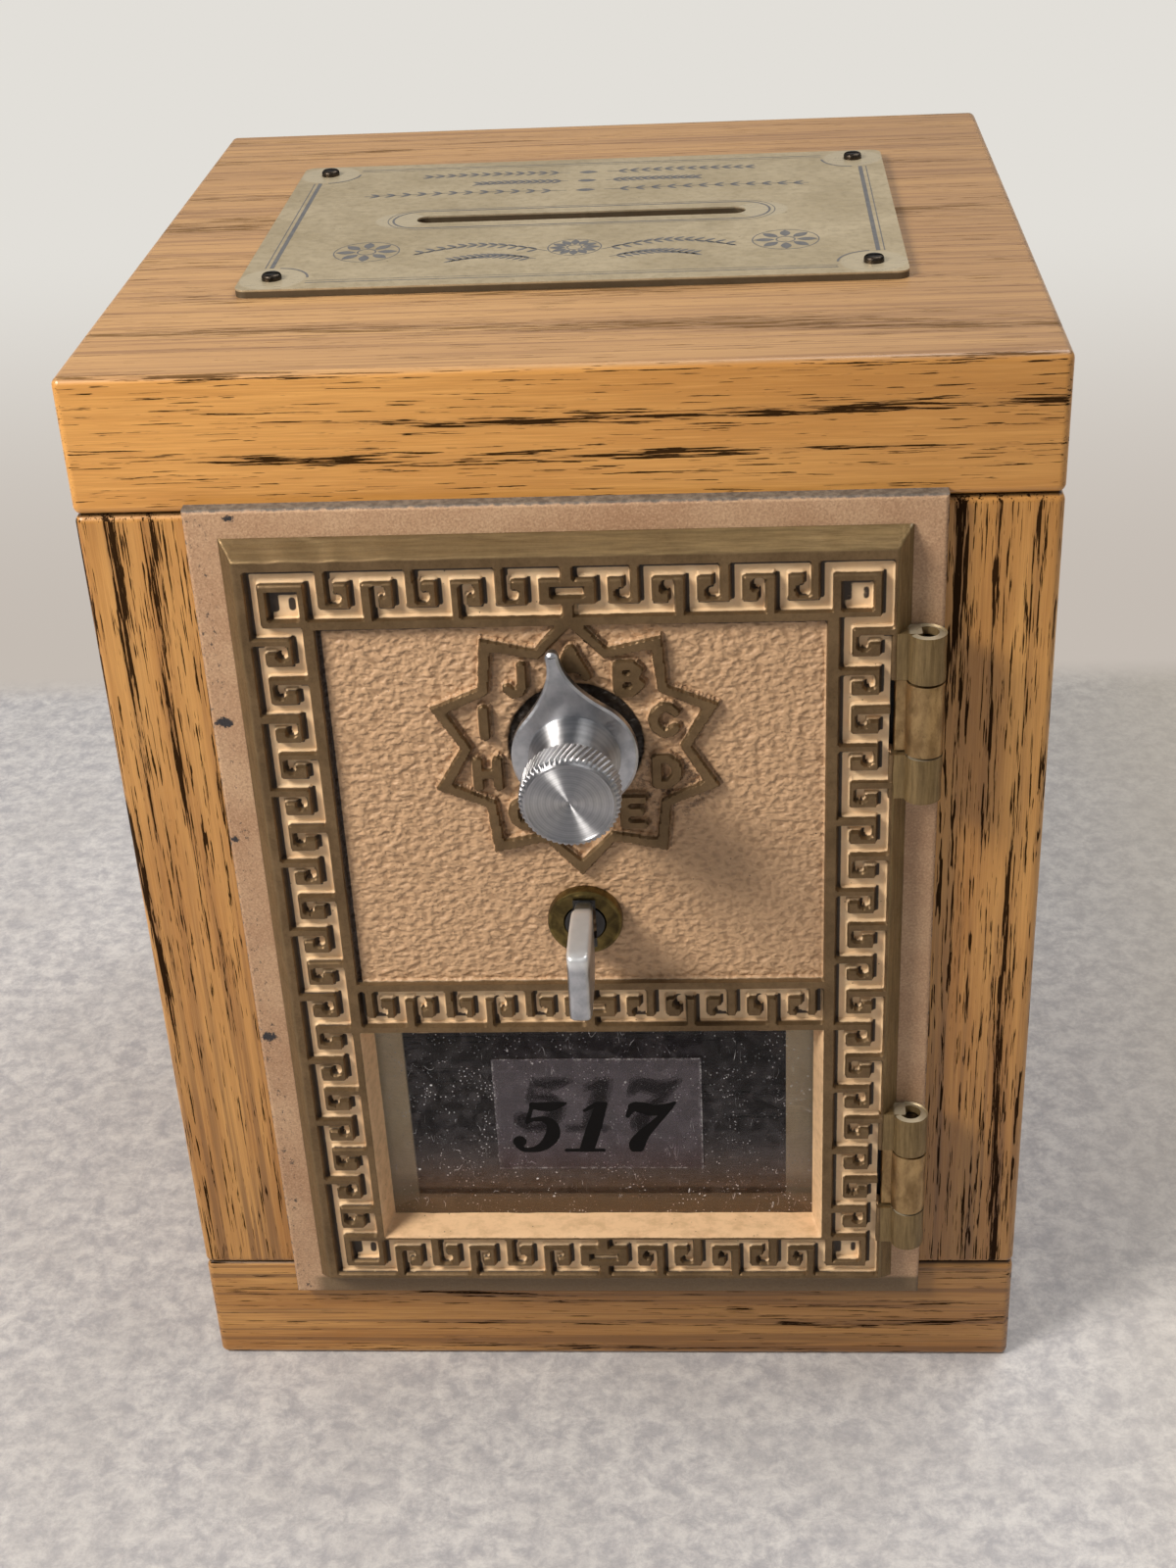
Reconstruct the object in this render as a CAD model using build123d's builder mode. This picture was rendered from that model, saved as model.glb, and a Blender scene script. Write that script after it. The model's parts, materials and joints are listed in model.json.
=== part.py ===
from build123d import *
import os
from math import asin, atan2, cos, degrees, hypot, radians, sin, tan

# An oak coin bank whose front is a cast brass post office box door with a letter lock.
# Millimetres. +Z is up, the door faces -Y, and the origin is the middle of the box's underside.

os.makedirs("parts", exist_ok=True)

# ------------------------------------------------------------------ driving dimensions
# Oak box
box_width = 114.3
box_depth = 108.9
box_height = 149.9
top_thickness = 16.7
bottom_thickness = 17.6
side_thickness = 17.2
arris_radius = 1.0
back_thickness = 6.4
back_rebate = 6.0
dowel_radius = 3.0
dowel_length = 24.0
dowel_setback = 22.0
wood_screw_radius = 1.5
wood_screw_head = 2.6
back_screw_length = 18.0
back_screw_inset = 14.0

# Coin plate on the lid
plate_length = 82.5
plate_width = 57.0
plate_thickness = 1.0
plate_corner = 1.5
plate_setback = 55.9
coin_slot_length = 43.7
coin_slot_width = 3.2
slot_end_relief = 1.8
slot_side_relief = 0.9
plate_hole_inset_x = 4.1
plate_hole_inset_y = 4.25
plate_screw_head_radius = 1.25
plate_screw_head_height = 0.8
plate_screw_dome = 0.45
plate_screw_radius = 0.75
plate_screw_length = 10.0

# Door frame: a sleeve in the box's mouth and a flange over the box's front
sleeve_side_gap = 0.1
sleeve_bottom_gap = 0.6
sleeve_top_gap = 3.0
sleeve_wall = 2.05
sleeve_depth = 16.0
flange_side_lap = 4.05
flange_end_lap = 4.15
flange_thickness = 2.0
flange_round = 0.5
frame_screw_inset = 20.0
frame_screw_setback = 11.0
frame_screw_length = 13.0

# Door casting: a bevelled slab over the flange and a shallow rim inside the sleeve
door_side_lap = 2.2
door_end_lap = 2.75
door_front = 5.0
door_back = 1.0
door_seat_gap = 0.1
door_bevel_width = 1.85
rim_side_gap = 1.3
rim_end_gap = 1.25
rim_wall = 1.8
rim_depth = 6.0

# Cast ornament, about its own centre lines
art_x = 0.4
art_drop = 0.3
outer_side_rail = 0.75
outer_end_rail = 1.15
band = 6.1
groove_depth = 1.1
key_body = 3.7
key_groove = 1.4
key_leg = 1.1
key_pitch = 5.16
keys_each_side = 18
keys_each_half = 5
corner_ring = 5.6
corner_ring_wall = 1.0
corner_pad = 1.6
comma_width = 0.5
comma_radius = 0.6
bridge_width = 6.6
bridge_stem = 1.5
bridge_slot_width = 3.9
bridge_slot_height = 1.1
middle_rail = 1.2
middle_band = 5.2
panel_height = 50.4
panel_side_rail = 1.55
panel_top_rail = 1.3
panel_bottom_rail = 1.5
panel_depth = 1.0
star_points = 10
star_tip_radius = 18.2
star_notch_radius = 13.9
star_tip_line = 2.3
star_notch_line = 1.5
dial_recess_radius = 8.0
dial_recess_depth = 0.5

# Window
window_side_rail = 1.3
window_sill = 0.5
window_draft = 15.0
glass_lap = 1.2
glass_thickness = 2.4
retainer_thickness = 0.8
retainer_side_land = 4.4
retainer_end_land = 1.8
retainer_margin = 1.4
retainer_boss_radius = 1.9
retainer_screw_inset = 3.55
retainer_screw_radius = 0.8
retainer_screw_head = 1.5
retainer_screw_head_height = 0.9
retainer_screw_bite = 1.2
decal_width = 27.9
decal_bottom_margin = 9.1
decal_top_margin = 7.3
decal_thickness = 0.1

# Hinges
hinge_offset = 1.7
hinge_radius = 2.3
hinge_length = 22.0
frame_knuckle_length = 9.4
knuckle_gap = 0.3
pin_radius = 1.2
pin_sink = 1.0
upper_hinge_rise = 33.2
lower_hinge_drop = 37.1
hinge_notch_reach = 1.8
hinge_web_front = 4.9
hinge_web_thickness = 2.6

# Dial
dial_drop = 16.2
letters = 10
pointer_lean = 9.0
pointer_radius = 7.6
pointer_reach = 14.0
pointer_tip_radius = 0.8
pointer_waist_reach = 9.5
pointer_waist_half_width = 1.75
pointer_foot_angle = 43.0
pointer_thickness = 1.2
pointer_front = 7.2
knob_flange_radius = 5.4
knob_flange_front = 8.0
knob_neck_radius = 3.9
knob_neck_front = 11.6
knob_head_flare = 0.4
knob_head_radius = 6.0
knob_head_back = 15.1
knob_front = 18.0
knob_chamfer = 0.6
spindle_radius = 2.0
spindle_collar_radius = 3.2
spindle_bury = 6.8

# Thumb turn
handle_drop = 24.8
handle_travel = 60.0
fin_thickness = 2.8
fin_height = 9.6
fin_neck_height = 7.0
fin_neck_front = 9.4
fin_front = 20.0
fin_round = 0.7
rose_radius = 4.7
rose_front = 5.5
shank_radius = 2.5
shank_square = 3.4
thread_radius = 1.4
thread_end = 0.4
nut_across = 5.0
nut_thickness = 2.0

# Lock case
case_gap = 0.9
case_wall = 1.2
case_depth = 13.2
case_hinge_side_gap = 7.7
case_top_gap = 5.6
case_above_window = 7.6
case_post_radius = 2.2
case_post_in_wall = 0.5
case_screw_radius = 1.25
case_screw_head = 2.0
case_screw_head_height = 1.2
case_screw_bite = 1.8
case_screw_inset = 8.5
case_screw_margin = 3.5
cover_screw_radius = 1.0
cover_screw_head = 1.8
cover_screw_length = 5.0

# Tumbler wheels
post_radius = 3.5
post_tenon_radius = 2.9
wheel_radius = 12.5
wheel_thickness = 1.8
wheel_gap = 0.9
drive_cam_radius = 8.0
pick_up_circle = 6.6
pick_up_pin_radius = 0.55
pick_up_pin_length = 0.6
spacer_radius = 4.8
clip_thickness = 0.35
change_hole_radius = 0.6
change_hole_circle = 10.2
letters_between_pins = (2, 3, 7)

# Bolt
cam_pin_circle = 5.0
cam_pin_radius = 1.2
cam_pin_end = 0.4
bolt_cam_thickness = 1.7
bolt_cam_land = 1.7
bolt_cam_tip = 1.0
bolt_plate_thickness = 2.0
bolt_height = 8.4
bolt_above_shank = 0.6
nose_length = 10.7
nose_thickness = 5.0
nose_lap = 6.0
nose_bevel = 3.6
rivet_radius = 0.9
fence_width = 3.7
fence_height = 3.0
fence_arm_width = 7.9
guide_radius = 1.5
guide_head_radius = 2.5
guide_head_thickness = 1.0
guide_thread_radius = 1.0
guide_rise = 5.1
guide_past_nose = 9.5
plate_tail = 6.4
plate_end_gap = 1.4
ear_offset = 8.5
ear_thickness = 1.2
ear_depth = 2.7
ear_half_height = 2.7
tab_width = 2.5
spring_radius = 1.8
spring_wire = 0.25
spring_turns = 9
spring_drop = 1.6
spring_setback = 0.45
guide_pin_radius = 0.8
guide_pin_reach = 13.2

# Screwdriver slots
driver_slot_width = 0.5
driver_slot_depth = 0.6

# Clearances, and how far a cutting block runs past the face it cuts
running = 0.06
slide_gap = 0.1
stack_gap = 0.3
cam_gap = 0.6
spacer_gap = 0.05
fence_clearance = 0.6
gate_clearance = 0.4
nose_clearance = 0.3
strike_clearance = 0.5
tip_clearance = 0.6
slot_clearance = 0.15
overrun = 1.0

# ------------------------------------------------------------------ places worked out from them
# Distances named front and back are measured forward from the box's front face
front_y = -box_depth / 2
side_inside = box_width / 2 - side_thickness
box_inside_top = box_height - top_thickness
plate_y = front_y + plate_setback
plate_top = box_height + plate_thickness

sleeve_width = 2 * (side_inside - sleeve_side_gap)
sleeve_height = box_inside_top - bottom_thickness - sleeve_bottom_gap - sleeve_top_gap
sleeve_inside_x = sleeve_width / 2 - sleeve_wall
sleeve_inside_height = sleeve_height - 2 * sleeve_wall
flange_width = sleeve_width + 2 * flange_side_lap
flange_height = sleeve_height + 2 * flange_end_lap
door_z = bottom_thickness + sleeve_bottom_gap + sleeve_height / 2

door_width = 2 * (sleeve_inside_x + door_side_lap)
door_height = sleeve_inside_height + 2 * door_end_lap
door_lap = flange_thickness + door_seat_gap
panel_front = door_front - panel_depth
rim_width = 2 * (sleeve_inside_x - rim_side_gap)
rim_height = sleeve_inside_height - 2 * rim_end_gap
rim_inside_x = rim_width / 2 - rim_wall
rim_inside_top = door_z + rim_height / 2 - rim_wall

art_z = door_z - art_drop
border_width = door_width - 2 * (door_bevel_width + outer_side_rail)
border_height = door_height - 2 * (door_bevel_width + outer_end_rail)
border_half_width = border_width / 2
border_half_height = border_height / 2
window_x = art_x / 2
window_width = border_width - 2 * (band + window_side_rail)
panel_width = border_width - 2 * (band + panel_side_rail)
panel_top = art_z + border_half_height - band - panel_top_rail
panel_bottom = panel_top - panel_height
panel_middle = (panel_top + panel_bottom) / 2
window_bottom = art_z - border_half_height + band + window_sill
window_top = panel_bottom - panel_bottom_rail - middle_band - middle_rail
window_middle = (window_bottom + window_top) / 2

hinge_x = door_width / 2 + hinge_offset
hinge_front = flange_thickness + hinge_radius + door_seat_gap
hinge_y = front_y - hinge_front
upper_hinge_z = door_z + upper_hinge_rise
lower_hinge_z = door_z - lower_hinge_drop
hinge_levels = (upper_hinge_z, lower_hinge_z)
half_knuckle = frame_knuckle_length / 2
web_left = hinge_x - hinge_radius - hinge_notch_reach

dial_x = art_x
dial_z = panel_top - dial_drop
handle_x = art_x
handle_z = dial_z - handle_drop
pointer_back = pointer_front - pointer_thickness
knob_back = pointer_front

glass_back = door_back - glass_thickness
glass_half_width = window_width / 2 + glass_lap
glass_bottom = window_bottom - glass_lap
glass_top = window_top + glass_lap
retainer_back = glass_back - retainer_thickness
retainer_boss_x = glass_half_width + retainer_boss_radius + slide_gap
retainer_half_width = retainer_boss_x + retainer_screw_head - 2 * slide_gap
retainer_screw_length = retainer_thickness + glass_thickness + retainer_screw_bite

case_left = -(rim_inside_x - case_gap)
case_right = rim_inside_x - case_hinge_side_gap
case_bottom = window_top + case_above_window
case_top = rim_inside_top - case_top_gap
case_floor = door_back - case_wall
cover_front = door_back - case_depth + case_wall
cover_back = cover_front - case_wall
case_right_inside = case_right - case_wall
post_inset = case_wall + case_post_radius - case_post_in_wall

bolt_throw = 2 * cam_pin_circle * sin(radians(handle_travel / 2))
bolt_front = case_floor - slide_gap
bolt_back = bolt_front - bolt_plate_thickness
bolt_bottom = handle_z + shank_radius + bolt_above_shank
bolt_top = bolt_bottom + bolt_height
nose_back = bolt_front - nose_thickness
nose_tip = -(sleeve_inside_x - tip_clearance) - bolt_throw
nose_root = nose_tip + nose_length
lap_end = nose_root + nose_lap
rivet_x = (nose_root + lap_end) / 2
rivet_levels = (bolt_bottom + bolt_height / 4, bolt_top - bolt_height / 4)
cam_pin_x = handle_x - bolt_throw / 2
cam_pin_z = handle_z + cam_pin_circle * cos(radians(handle_travel / 2))
bolt_cam_front = bolt_back - cam_gap
bolt_cam_back = bolt_cam_front - bolt_cam_thickness
fence_lead = dial_x - wheel_radius - fence_clearance
fence_x = fence_lead - fence_width / 2
arm_right = fence_lead - fence_clearance
arm_left = arm_right - fence_arm_width
arm_top = dial_z + fence_height
guide_z = bolt_bottom + guide_rise
plate_right = case_right_inside - bolt_throw - plate_end_gap
guide_xs = (lap_end + guide_past_nose, plate_right - plate_tail)
guide_bite = door_back + case_screw_bite
ear_left = handle_x + ear_offset
ear_right = ear_left + ear_thickness
tab_left = ear_left - tab_width
spring_z = handle_z - spring_drop
spring_front = bolt_back - spring_setback

drive_cam_front = case_floor - stack_gap
drive_cam_back = drive_cam_front - wheel_thickness
post_front = drive_cam_back - stack_gap
clip_front = post_front - stack_gap / 2
clip_back = clip_front - clip_thickness
wheel_step = wheel_thickness + wheel_gap
wheel_fronts = [clip_back - slide_gap - n * wheel_step for n in range(3)]
gate_bottom = dial_x - fence_lead - bolt_throw - gate_clearance
spindle_end = cover_front + 2 * slide_gap
letter_angle = 360 / letters
pin_angles = [90 + pointer_lean]
for letters_between in letters_between_pins:
    pin_angles.append(pin_angles[-1] - letters_between * letter_angle)


# ------------------------------------------------------------------ small helpers
def ahead(distance):
    """The plane facing forward, this far in front of the box's front face."""
    return Plane.XZ.offset(distance - front_y)


def spot(x, distance, z):
    """A point this far in front of the box's front face."""
    return (x, front_y - distance, z)


def slab(x_range, z_range, front, back, mode=Mode.ADD):
    """An upright block between two distances in front of the box's front face."""
    with BuildSketch(ahead(front)) as outline:
        with Locations((sum(x_range) / 2, sum(z_range) / 2)):
            Rectangle(x_range[1] - x_range[0], z_range[1] - z_range[0])
    extrude(outline.sketch, amount=back - front, mode=mode)


def round_bar(x, z, radius, front, back, mode=Mode.ADD):
    """A round bar or hole that runs from front to back."""
    with BuildSketch(ahead(front)) as outline:
        with Locations((x, z)):
            Circle(radius)
    extrude(outline.sketch, amount=back - front, mode=mode)


def upright_bar(x, y, radius, bottom, top, mode=Mode.ADD):
    """A round bar or hole along Z."""
    with BuildSketch(Plane.XY.offset(bottom)) as outline:
        with Locations((x, y)):
            Circle(radius)
    extrude(outline.sketch, amount=top - bottom, mode=mode)


def driven(points, direction):
    """One plane for each screw, at its head, facing the way it is driven."""
    return [Plane(origin=point, z_dir=direction) for point in points]


def countersunk(places, head_radius, shank_radius, length, mode=Mode.ADD):
    """Countersunk screws, or the holes they sit in."""
    low = (Align.CENTER, Align.CENTER, Align.MIN)
    with Locations(*places):
        Cone(head_radius, shank_radius, head_radius - shank_radius, align=low, mode=mode)
        Cylinder(shank_radius, length, align=low, mode=mode)


def pan_head(places, head_radius, head_height, shank_radius, length):
    """Screws whose flat head stands on the surface."""
    with Locations(*places):
        Cylinder(head_radius, head_height, align=(Align.CENTER, Align.CENTER, Align.MAX))
        Cylinder(shank_radius, length, align=(Align.CENTER, Align.CENTER, Align.MIN))


def driver_slot(places, head_radius, head_height):
    """The screwdriver slots, cut right across the heads' outer faces."""
    low = (Align.CENTER, Align.CENTER, Align.MIN)
    across = 2 * head_radius + overrun
    with Locations(*places):
        with Locations((0, 0, -head_height)):
            Box(across, driver_slot_width, driver_slot_depth, align=low, mode=Mode.SUBTRACT)


def screw_holes(places, radius, length):
    """Plain holes for screws."""
    low = (Align.CENTER, Align.CENTER, Align.MIN)
    with Locations(*places):
        Cylinder(radius, length, align=low, mode=Mode.SUBTRACT)


def on_circle(x, z, radius, degrees):
    """A point on a circle in the upright plane."""
    return (x + radius * cos(radians(degrees)), z + radius * sin(radians(degrees)))


# ------------------------------------------------------------------ fastener places
side_middle = side_inside + side_thickness / 2
dowel_y = box_depth / 2 - dowel_setback
dowel_places = [(x, y) for x in (-side_middle, side_middle) for y in (-dowel_y, dowel_y)]
dowel_levels = (bottom_thickness, box_inside_top)
plate_screw_x = plate_length / 2 - plate_hole_inset_x
plate_screw_reach = plate_width / 2 - plate_hole_inset_y
plate_screw_y = (plate_y - plate_screw_reach, plate_y + plate_screw_reach)
plate_screw_places = driven(
    [(x, y, plate_top) for x in (-plate_screw_x, plate_screw_x) for y in plate_screw_y], (0, 0, -1)
)
back_screw_x = side_inside + back_rebate / 2
box_inside_middle = (bottom_thickness + box_inside_top) / 2
back_screw_reach = (box_inside_top - bottom_thickness) / 2 - back_screw_inset
back_screw_places = driven(
    [
        (x, box_depth / 2, box_inside_middle + level * back_screw_reach)
        for x in (-back_screw_x, back_screw_x)
        for level in (-1, 0, 1)
    ],
    (0, -1, 0),
)
frame_screw_reach = sleeve_height / 2 - frame_screw_inset
frame_screw_levels = (door_z - frame_screw_reach, door_z + frame_screw_reach)
left_frame_screws = driven(
    [spot(-sleeve_inside_x, -frame_screw_setback, z) for z in frame_screw_levels], (-1, 0, 0)
)
right_frame_screws = driven(
    [spot(sleeve_inside_x, -frame_screw_setback, z) for z in frame_screw_levels], (1, 0, 0)
)
frame_screw_places = left_frame_screws + right_frame_screws
retainer_screw_levels = (window_bottom + retainer_screw_inset, window_top - retainer_screw_inset)
retainer_screw_places = driven(
    [spot(x, retainer_back, z) for x in (-retainer_boss_x, retainer_boss_x) for z in retainer_screw_levels],
    (0, -1, 0),
)
case_screw_x = (case_left + case_screw_inset, case_right - case_screw_inset)
case_screw_z = (case_bottom + case_screw_margin, case_top - case_screw_margin)
case_screw_places = driven(
    [spot(x, case_floor, z) for x in case_screw_x for z in case_screw_z], (0, -1, 0)
)
post_x = (case_left + post_inset, case_right - post_inset)
post_z = (case_bottom + post_inset, case_top - post_inset)
cover_screw_places = driven([spot(x, cover_back, z) for x in post_x for z in post_z], (0, -1, 0))

# ------------------------------------------------------------------ oak box
with BuildPart() as bottom_board:
    with BuildSketch():
        Rectangle(box_width, box_depth)
    extrude(amount=bottom_thickness)
    fillet(bottom_board.edges(), arris_radius)
    for x, y in dowel_places:
        upright_bar(
            x, y, dowel_radius, bottom_thickness - dowel_length / 2, bottom_thickness, Mode.SUBTRACT
        )
bottom_board.part.label = "bottom_board"
export_step(bottom_board.part, "parts/bottom_board.step")

with BuildPart() as top_board:
    with BuildSketch(Plane.XY.offset(box_inside_top)):
        Rectangle(box_width, box_depth)
    extrude(amount=top_thickness)
    fillet(top_board.edges(), arris_radius)
    for x, y in dowel_places:
        upright_bar(x, y, dowel_radius, box_inside_top, box_inside_top + dowel_length / 2, Mode.SUBTRACT)
    with BuildSketch(Plane.XY.offset(box_inside_top)):
        with Locations((0, plate_y)):
            Rectangle(coin_slot_length + 2 * slot_end_relief, coin_slot_width + 2 * slot_side_relief)
    extrude(amount=top_thickness, mode=Mode.SUBTRACT)
    screw_holes(plate_screw_places, plate_screw_radius, plate_screw_length)
top_board.part.label = "top_board"
export_step(top_board.part, "parts/top_board.step")

with BuildPart() as left_side_board:
    with BuildSketch(Plane.XY.offset(bottom_thickness)):
        with Locations((-side_middle, 0)):
            Rectangle(side_thickness, box_depth)
    extrude(amount=box_inside_top - bottom_thickness)
    fillet(left_side_board.edges(), arris_radius)
    with BuildSketch(Plane.XY.offset(bottom_thickness)):
        with Locations((-side_inside - back_rebate / 2, (box_depth - back_thickness) / 2)):
            Rectangle(back_rebate, back_thickness)
    extrude(amount=box_inside_top - bottom_thickness, mode=Mode.SUBTRACT)
    for level in dowel_levels:
        for x, y in dowel_places[:2]:
            half = dowel_length / 2
            upright_bar(x, y, dowel_radius, level - half, level + half, Mode.SUBTRACT)
    screw_holes(left_frame_screws, wood_screw_radius, frame_screw_length)
    screw_holes(back_screw_places[:3], wood_screw_radius, back_screw_length)
    slab(
        (nose_tip - strike_clearance, -side_inside),
        (bolt_bottom - 2 * strike_clearance, bolt_top + 2 * strike_clearance),
        0,
        nose_back - 2 * strike_clearance,
        Mode.SUBTRACT,
    )
left_side_board.part.label = "left_side_board"
export_step(left_side_board.part, "parts/left_side_board.step")

with BuildPart() as right_side_board:
    with BuildSketch(Plane.XY.offset(bottom_thickness)):
        with Locations((side_middle, 0)):
            Rectangle(side_thickness, box_depth)
    extrude(amount=box_inside_top - bottom_thickness)
    fillet(right_side_board.edges(), arris_radius)
    with BuildSketch(Plane.XY.offset(bottom_thickness)):
        with Locations((side_inside + back_rebate / 2, (box_depth - back_thickness) / 2)):
            Rectangle(back_rebate, back_thickness)
    extrude(amount=box_inside_top - bottom_thickness, mode=Mode.SUBTRACT)
    for level in dowel_levels:
        for x, y in dowel_places[2:]:
            half = dowel_length / 2
            upright_bar(x, y, dowel_radius, level - half, level + half, Mode.SUBTRACT)
    screw_holes(right_frame_screws, wood_screw_radius, frame_screw_length)
    screw_holes(back_screw_places[3:], wood_screw_radius, back_screw_length)
right_side_board.part.label = "right_side_board"
export_step(right_side_board.part, "parts/right_side_board.step")

with BuildPart() as board_dowels:
    for level in dowel_levels:
        for x, y in dowel_places:
            upright_bar(x, y, dowel_radius, level - dowel_length / 2, level + dowel_length / 2)
board_dowels.part.label = "board_dowels"
export_step(board_dowels.part, "parts/board_dowels.step")

with BuildPart() as back_panel:
    with BuildSketch(Plane.XY.offset(bottom_thickness)):
        with Locations((0, (box_depth - back_thickness) / 2)):
            Rectangle(2 * (side_inside + back_rebate), back_thickness)
    extrude(amount=box_inside_top - bottom_thickness)
    countersunk(
        back_screw_places, wood_screw_head, wood_screw_radius, back_screw_length, Mode.SUBTRACT
    )
back_panel.part.label = "back_panel"
export_step(back_panel.part, "parts/back_panel.step")

with BuildPart() as back_panel_screws:
    countersunk(back_screw_places, wood_screw_head, wood_screw_radius, back_screw_length)
    driver_slot(back_screw_places, wood_screw_head, 0)
back_panel_screws.part.label = "back_panel_screws"
export_step(back_panel_screws.part, "parts/back_panel_screws.step")

# ------------------------------------------------------------------ coin plate
with BuildPart() as coin_plate:
    with BuildSketch(Plane.XY.offset(box_height)):
        with Locations((0, plate_y)):
            RectangleRounded(plate_length, plate_width, plate_corner)
            SlotOverall(coin_slot_length, coin_slot_width, mode=Mode.SUBTRACT)
    extrude(amount=plate_thickness)
    screw_holes(plate_screw_places, plate_screw_radius, plate_thickness)
coin_plate.part.label = "coin_plate"
export_step(coin_plate.part, "parts/coin_plate.step")

with BuildPart() as coin_plate_screws:
    pan_head(
        plate_screw_places,
        plate_screw_head_radius,
        plate_screw_head_height,
        plate_screw_radius,
        plate_screw_length,
    )
    head_rims = coin_plate_screws.edges().group_by(Axis.Z)[-1]
    fillet(head_rims, plate_screw_dome)
    driver_slot(plate_screw_places, plate_screw_head_radius, plate_screw_head_height)
coin_plate_screws.part.label = "coin_plate_screws"
export_step(coin_plate_screws.part, "parts/coin_plate_screws.step")

# ------------------------------------------------------------------ door frame
with BuildPart() as door_frame:
    with BuildSketch(ahead(0)):
        with Locations((0, door_z)):
            Rectangle(flange_width, flange_height)
    extrude(amount=flange_thickness)
    fillet(door_frame.faces().sort_by(Axis.Y)[0].edges(), flange_round)
    with BuildSketch(ahead(0)):
        with Locations((0, door_z)):
            Rectangle(sleeve_width, sleeve_height)
    extrude(amount=-sleeve_depth)
    with BuildSketch(ahead(flange_thickness)):
        with Locations((0, door_z)):
            Rectangle(2 * sleeve_inside_x, sleeve_inside_height)
    extrude(amount=-(flange_thickness + sleeve_depth), mode=Mode.SUBTRACT)
    for level in hinge_levels:
        with BuildSketch(Plane.XY.offset(level - half_knuckle)):
            with Locations((hinge_x, hinge_y)):
                Circle(hinge_radius)
                Rectangle(2 * hinge_radius, hinge_front, align=(Align.CENTER, Align.MIN))
            with Locations((hinge_x, front_y)):
                Rectangle(3 * hinge_radius, flange_thickness, mode=Mode.SUBTRACT)
            with Locations((hinge_x, hinge_y)):
                Circle(pin_radius + running, mode=Mode.SUBTRACT)
        extrude(amount=frame_knuckle_length)
    slab(
        (-sleeve_width / 2, -sleeve_inside_x),
        (bolt_bottom - strike_clearance, bolt_top + strike_clearance),
        bolt_front + 2 * slide_gap,
        nose_back - strike_clearance,
        Mode.SUBTRACT,
    )
    countersunk(
        frame_screw_places, wood_screw_head, wood_screw_radius, sleeve_wall + overrun, Mode.SUBTRACT
    )
door_frame.part.label = "door_frame"
export_step(door_frame.part, "parts/door_frame.step")

with BuildPart() as frame_screws:
    countersunk(frame_screw_places, wood_screw_head, wood_screw_radius, frame_screw_length)
    driver_slot(frame_screw_places, wood_screw_head, 0)
frame_screws.part.label = "frame_screws"
export_step(frame_screws.part, "parts/frame_screws.step")

# ------------------------------------------------------------------ the border's key pattern
# A key is a small square body hung by a leg from one of its band's two rails, turn about, with a
# comma-shaped groove curling into it. Each is (along the band, side of the rail it hangs from).
half_band = band / 2
first_key = border_half_width - 2 * key_groove - corner_ring
side_first_key = border_half_height - 2 * key_groove - corner_ring
side_key_pitch = (2 * side_first_key - key_body) / (keys_each_side - 1)
half_keys = [(-first_key + n * key_pitch, (-1) ** n) for n in range(keys_each_half)]
side_keys = [(side_first_key - n * side_key_pitch, (-1) ** n) for n in range(keys_each_side)]
band_z = border_half_height - half_band
band_x = border_half_width - half_band
middle_z = window_top + middle_rail + middle_band / 2 - art_z


def level_keys(across, height, outward):
    """Bodies, legs, comma stems and comma ends of one level band, both halves of it."""
    body_reach = height / 2 - key_groove * height / band
    bodies, legs, stems, ends = [], [], [], []
    for start, side in half_keys:
        for hand in (1, -1):
            toward = side * outward
            bodies.append((hand * (start + key_body / 2), across))
            legs.append((hand * (start + key_leg / 2), across + toward * (body_reach + height / 2) / 2))
            stem_x = hand * (start + key_leg + comma_width / 2)
            stems.append((stem_x, across + toward * body_reach / 2))
            ends.append((stem_x + hand * comma_width / 2, across))
    return bodies, legs, stems, ends


def upright_keys(hand):
    """The same for the upright band on one side."""
    body_reach = half_band - key_groove
    bodies, legs, stems, ends = [], [], [], []
    for start, side in side_keys:
        across = hand * band_x
        toward = side * hand
        bodies.append((across, start - key_body / 2))
        legs.append((across + toward * (body_reach + half_band) / 2, start - key_leg / 2))
        stem_z = start - key_leg - comma_width / 2
        stems.append((across + toward * body_reach / 2, stem_z))
        ends.append((across, stem_z - comma_width / 2))
    return bodies, legs, stems, ends


def star_outline(tip_radius, notch_radius):
    """The star's corners, tips and notches turn about, starting at the top."""
    turn = 180 / star_points
    radius_at = (tip_radius, notch_radius)
    return [
        on_circle(dial_x, dial_z, radius_at[n % 2], 90 + n * turn) for n in range(2 * star_points)
    ]


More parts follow.
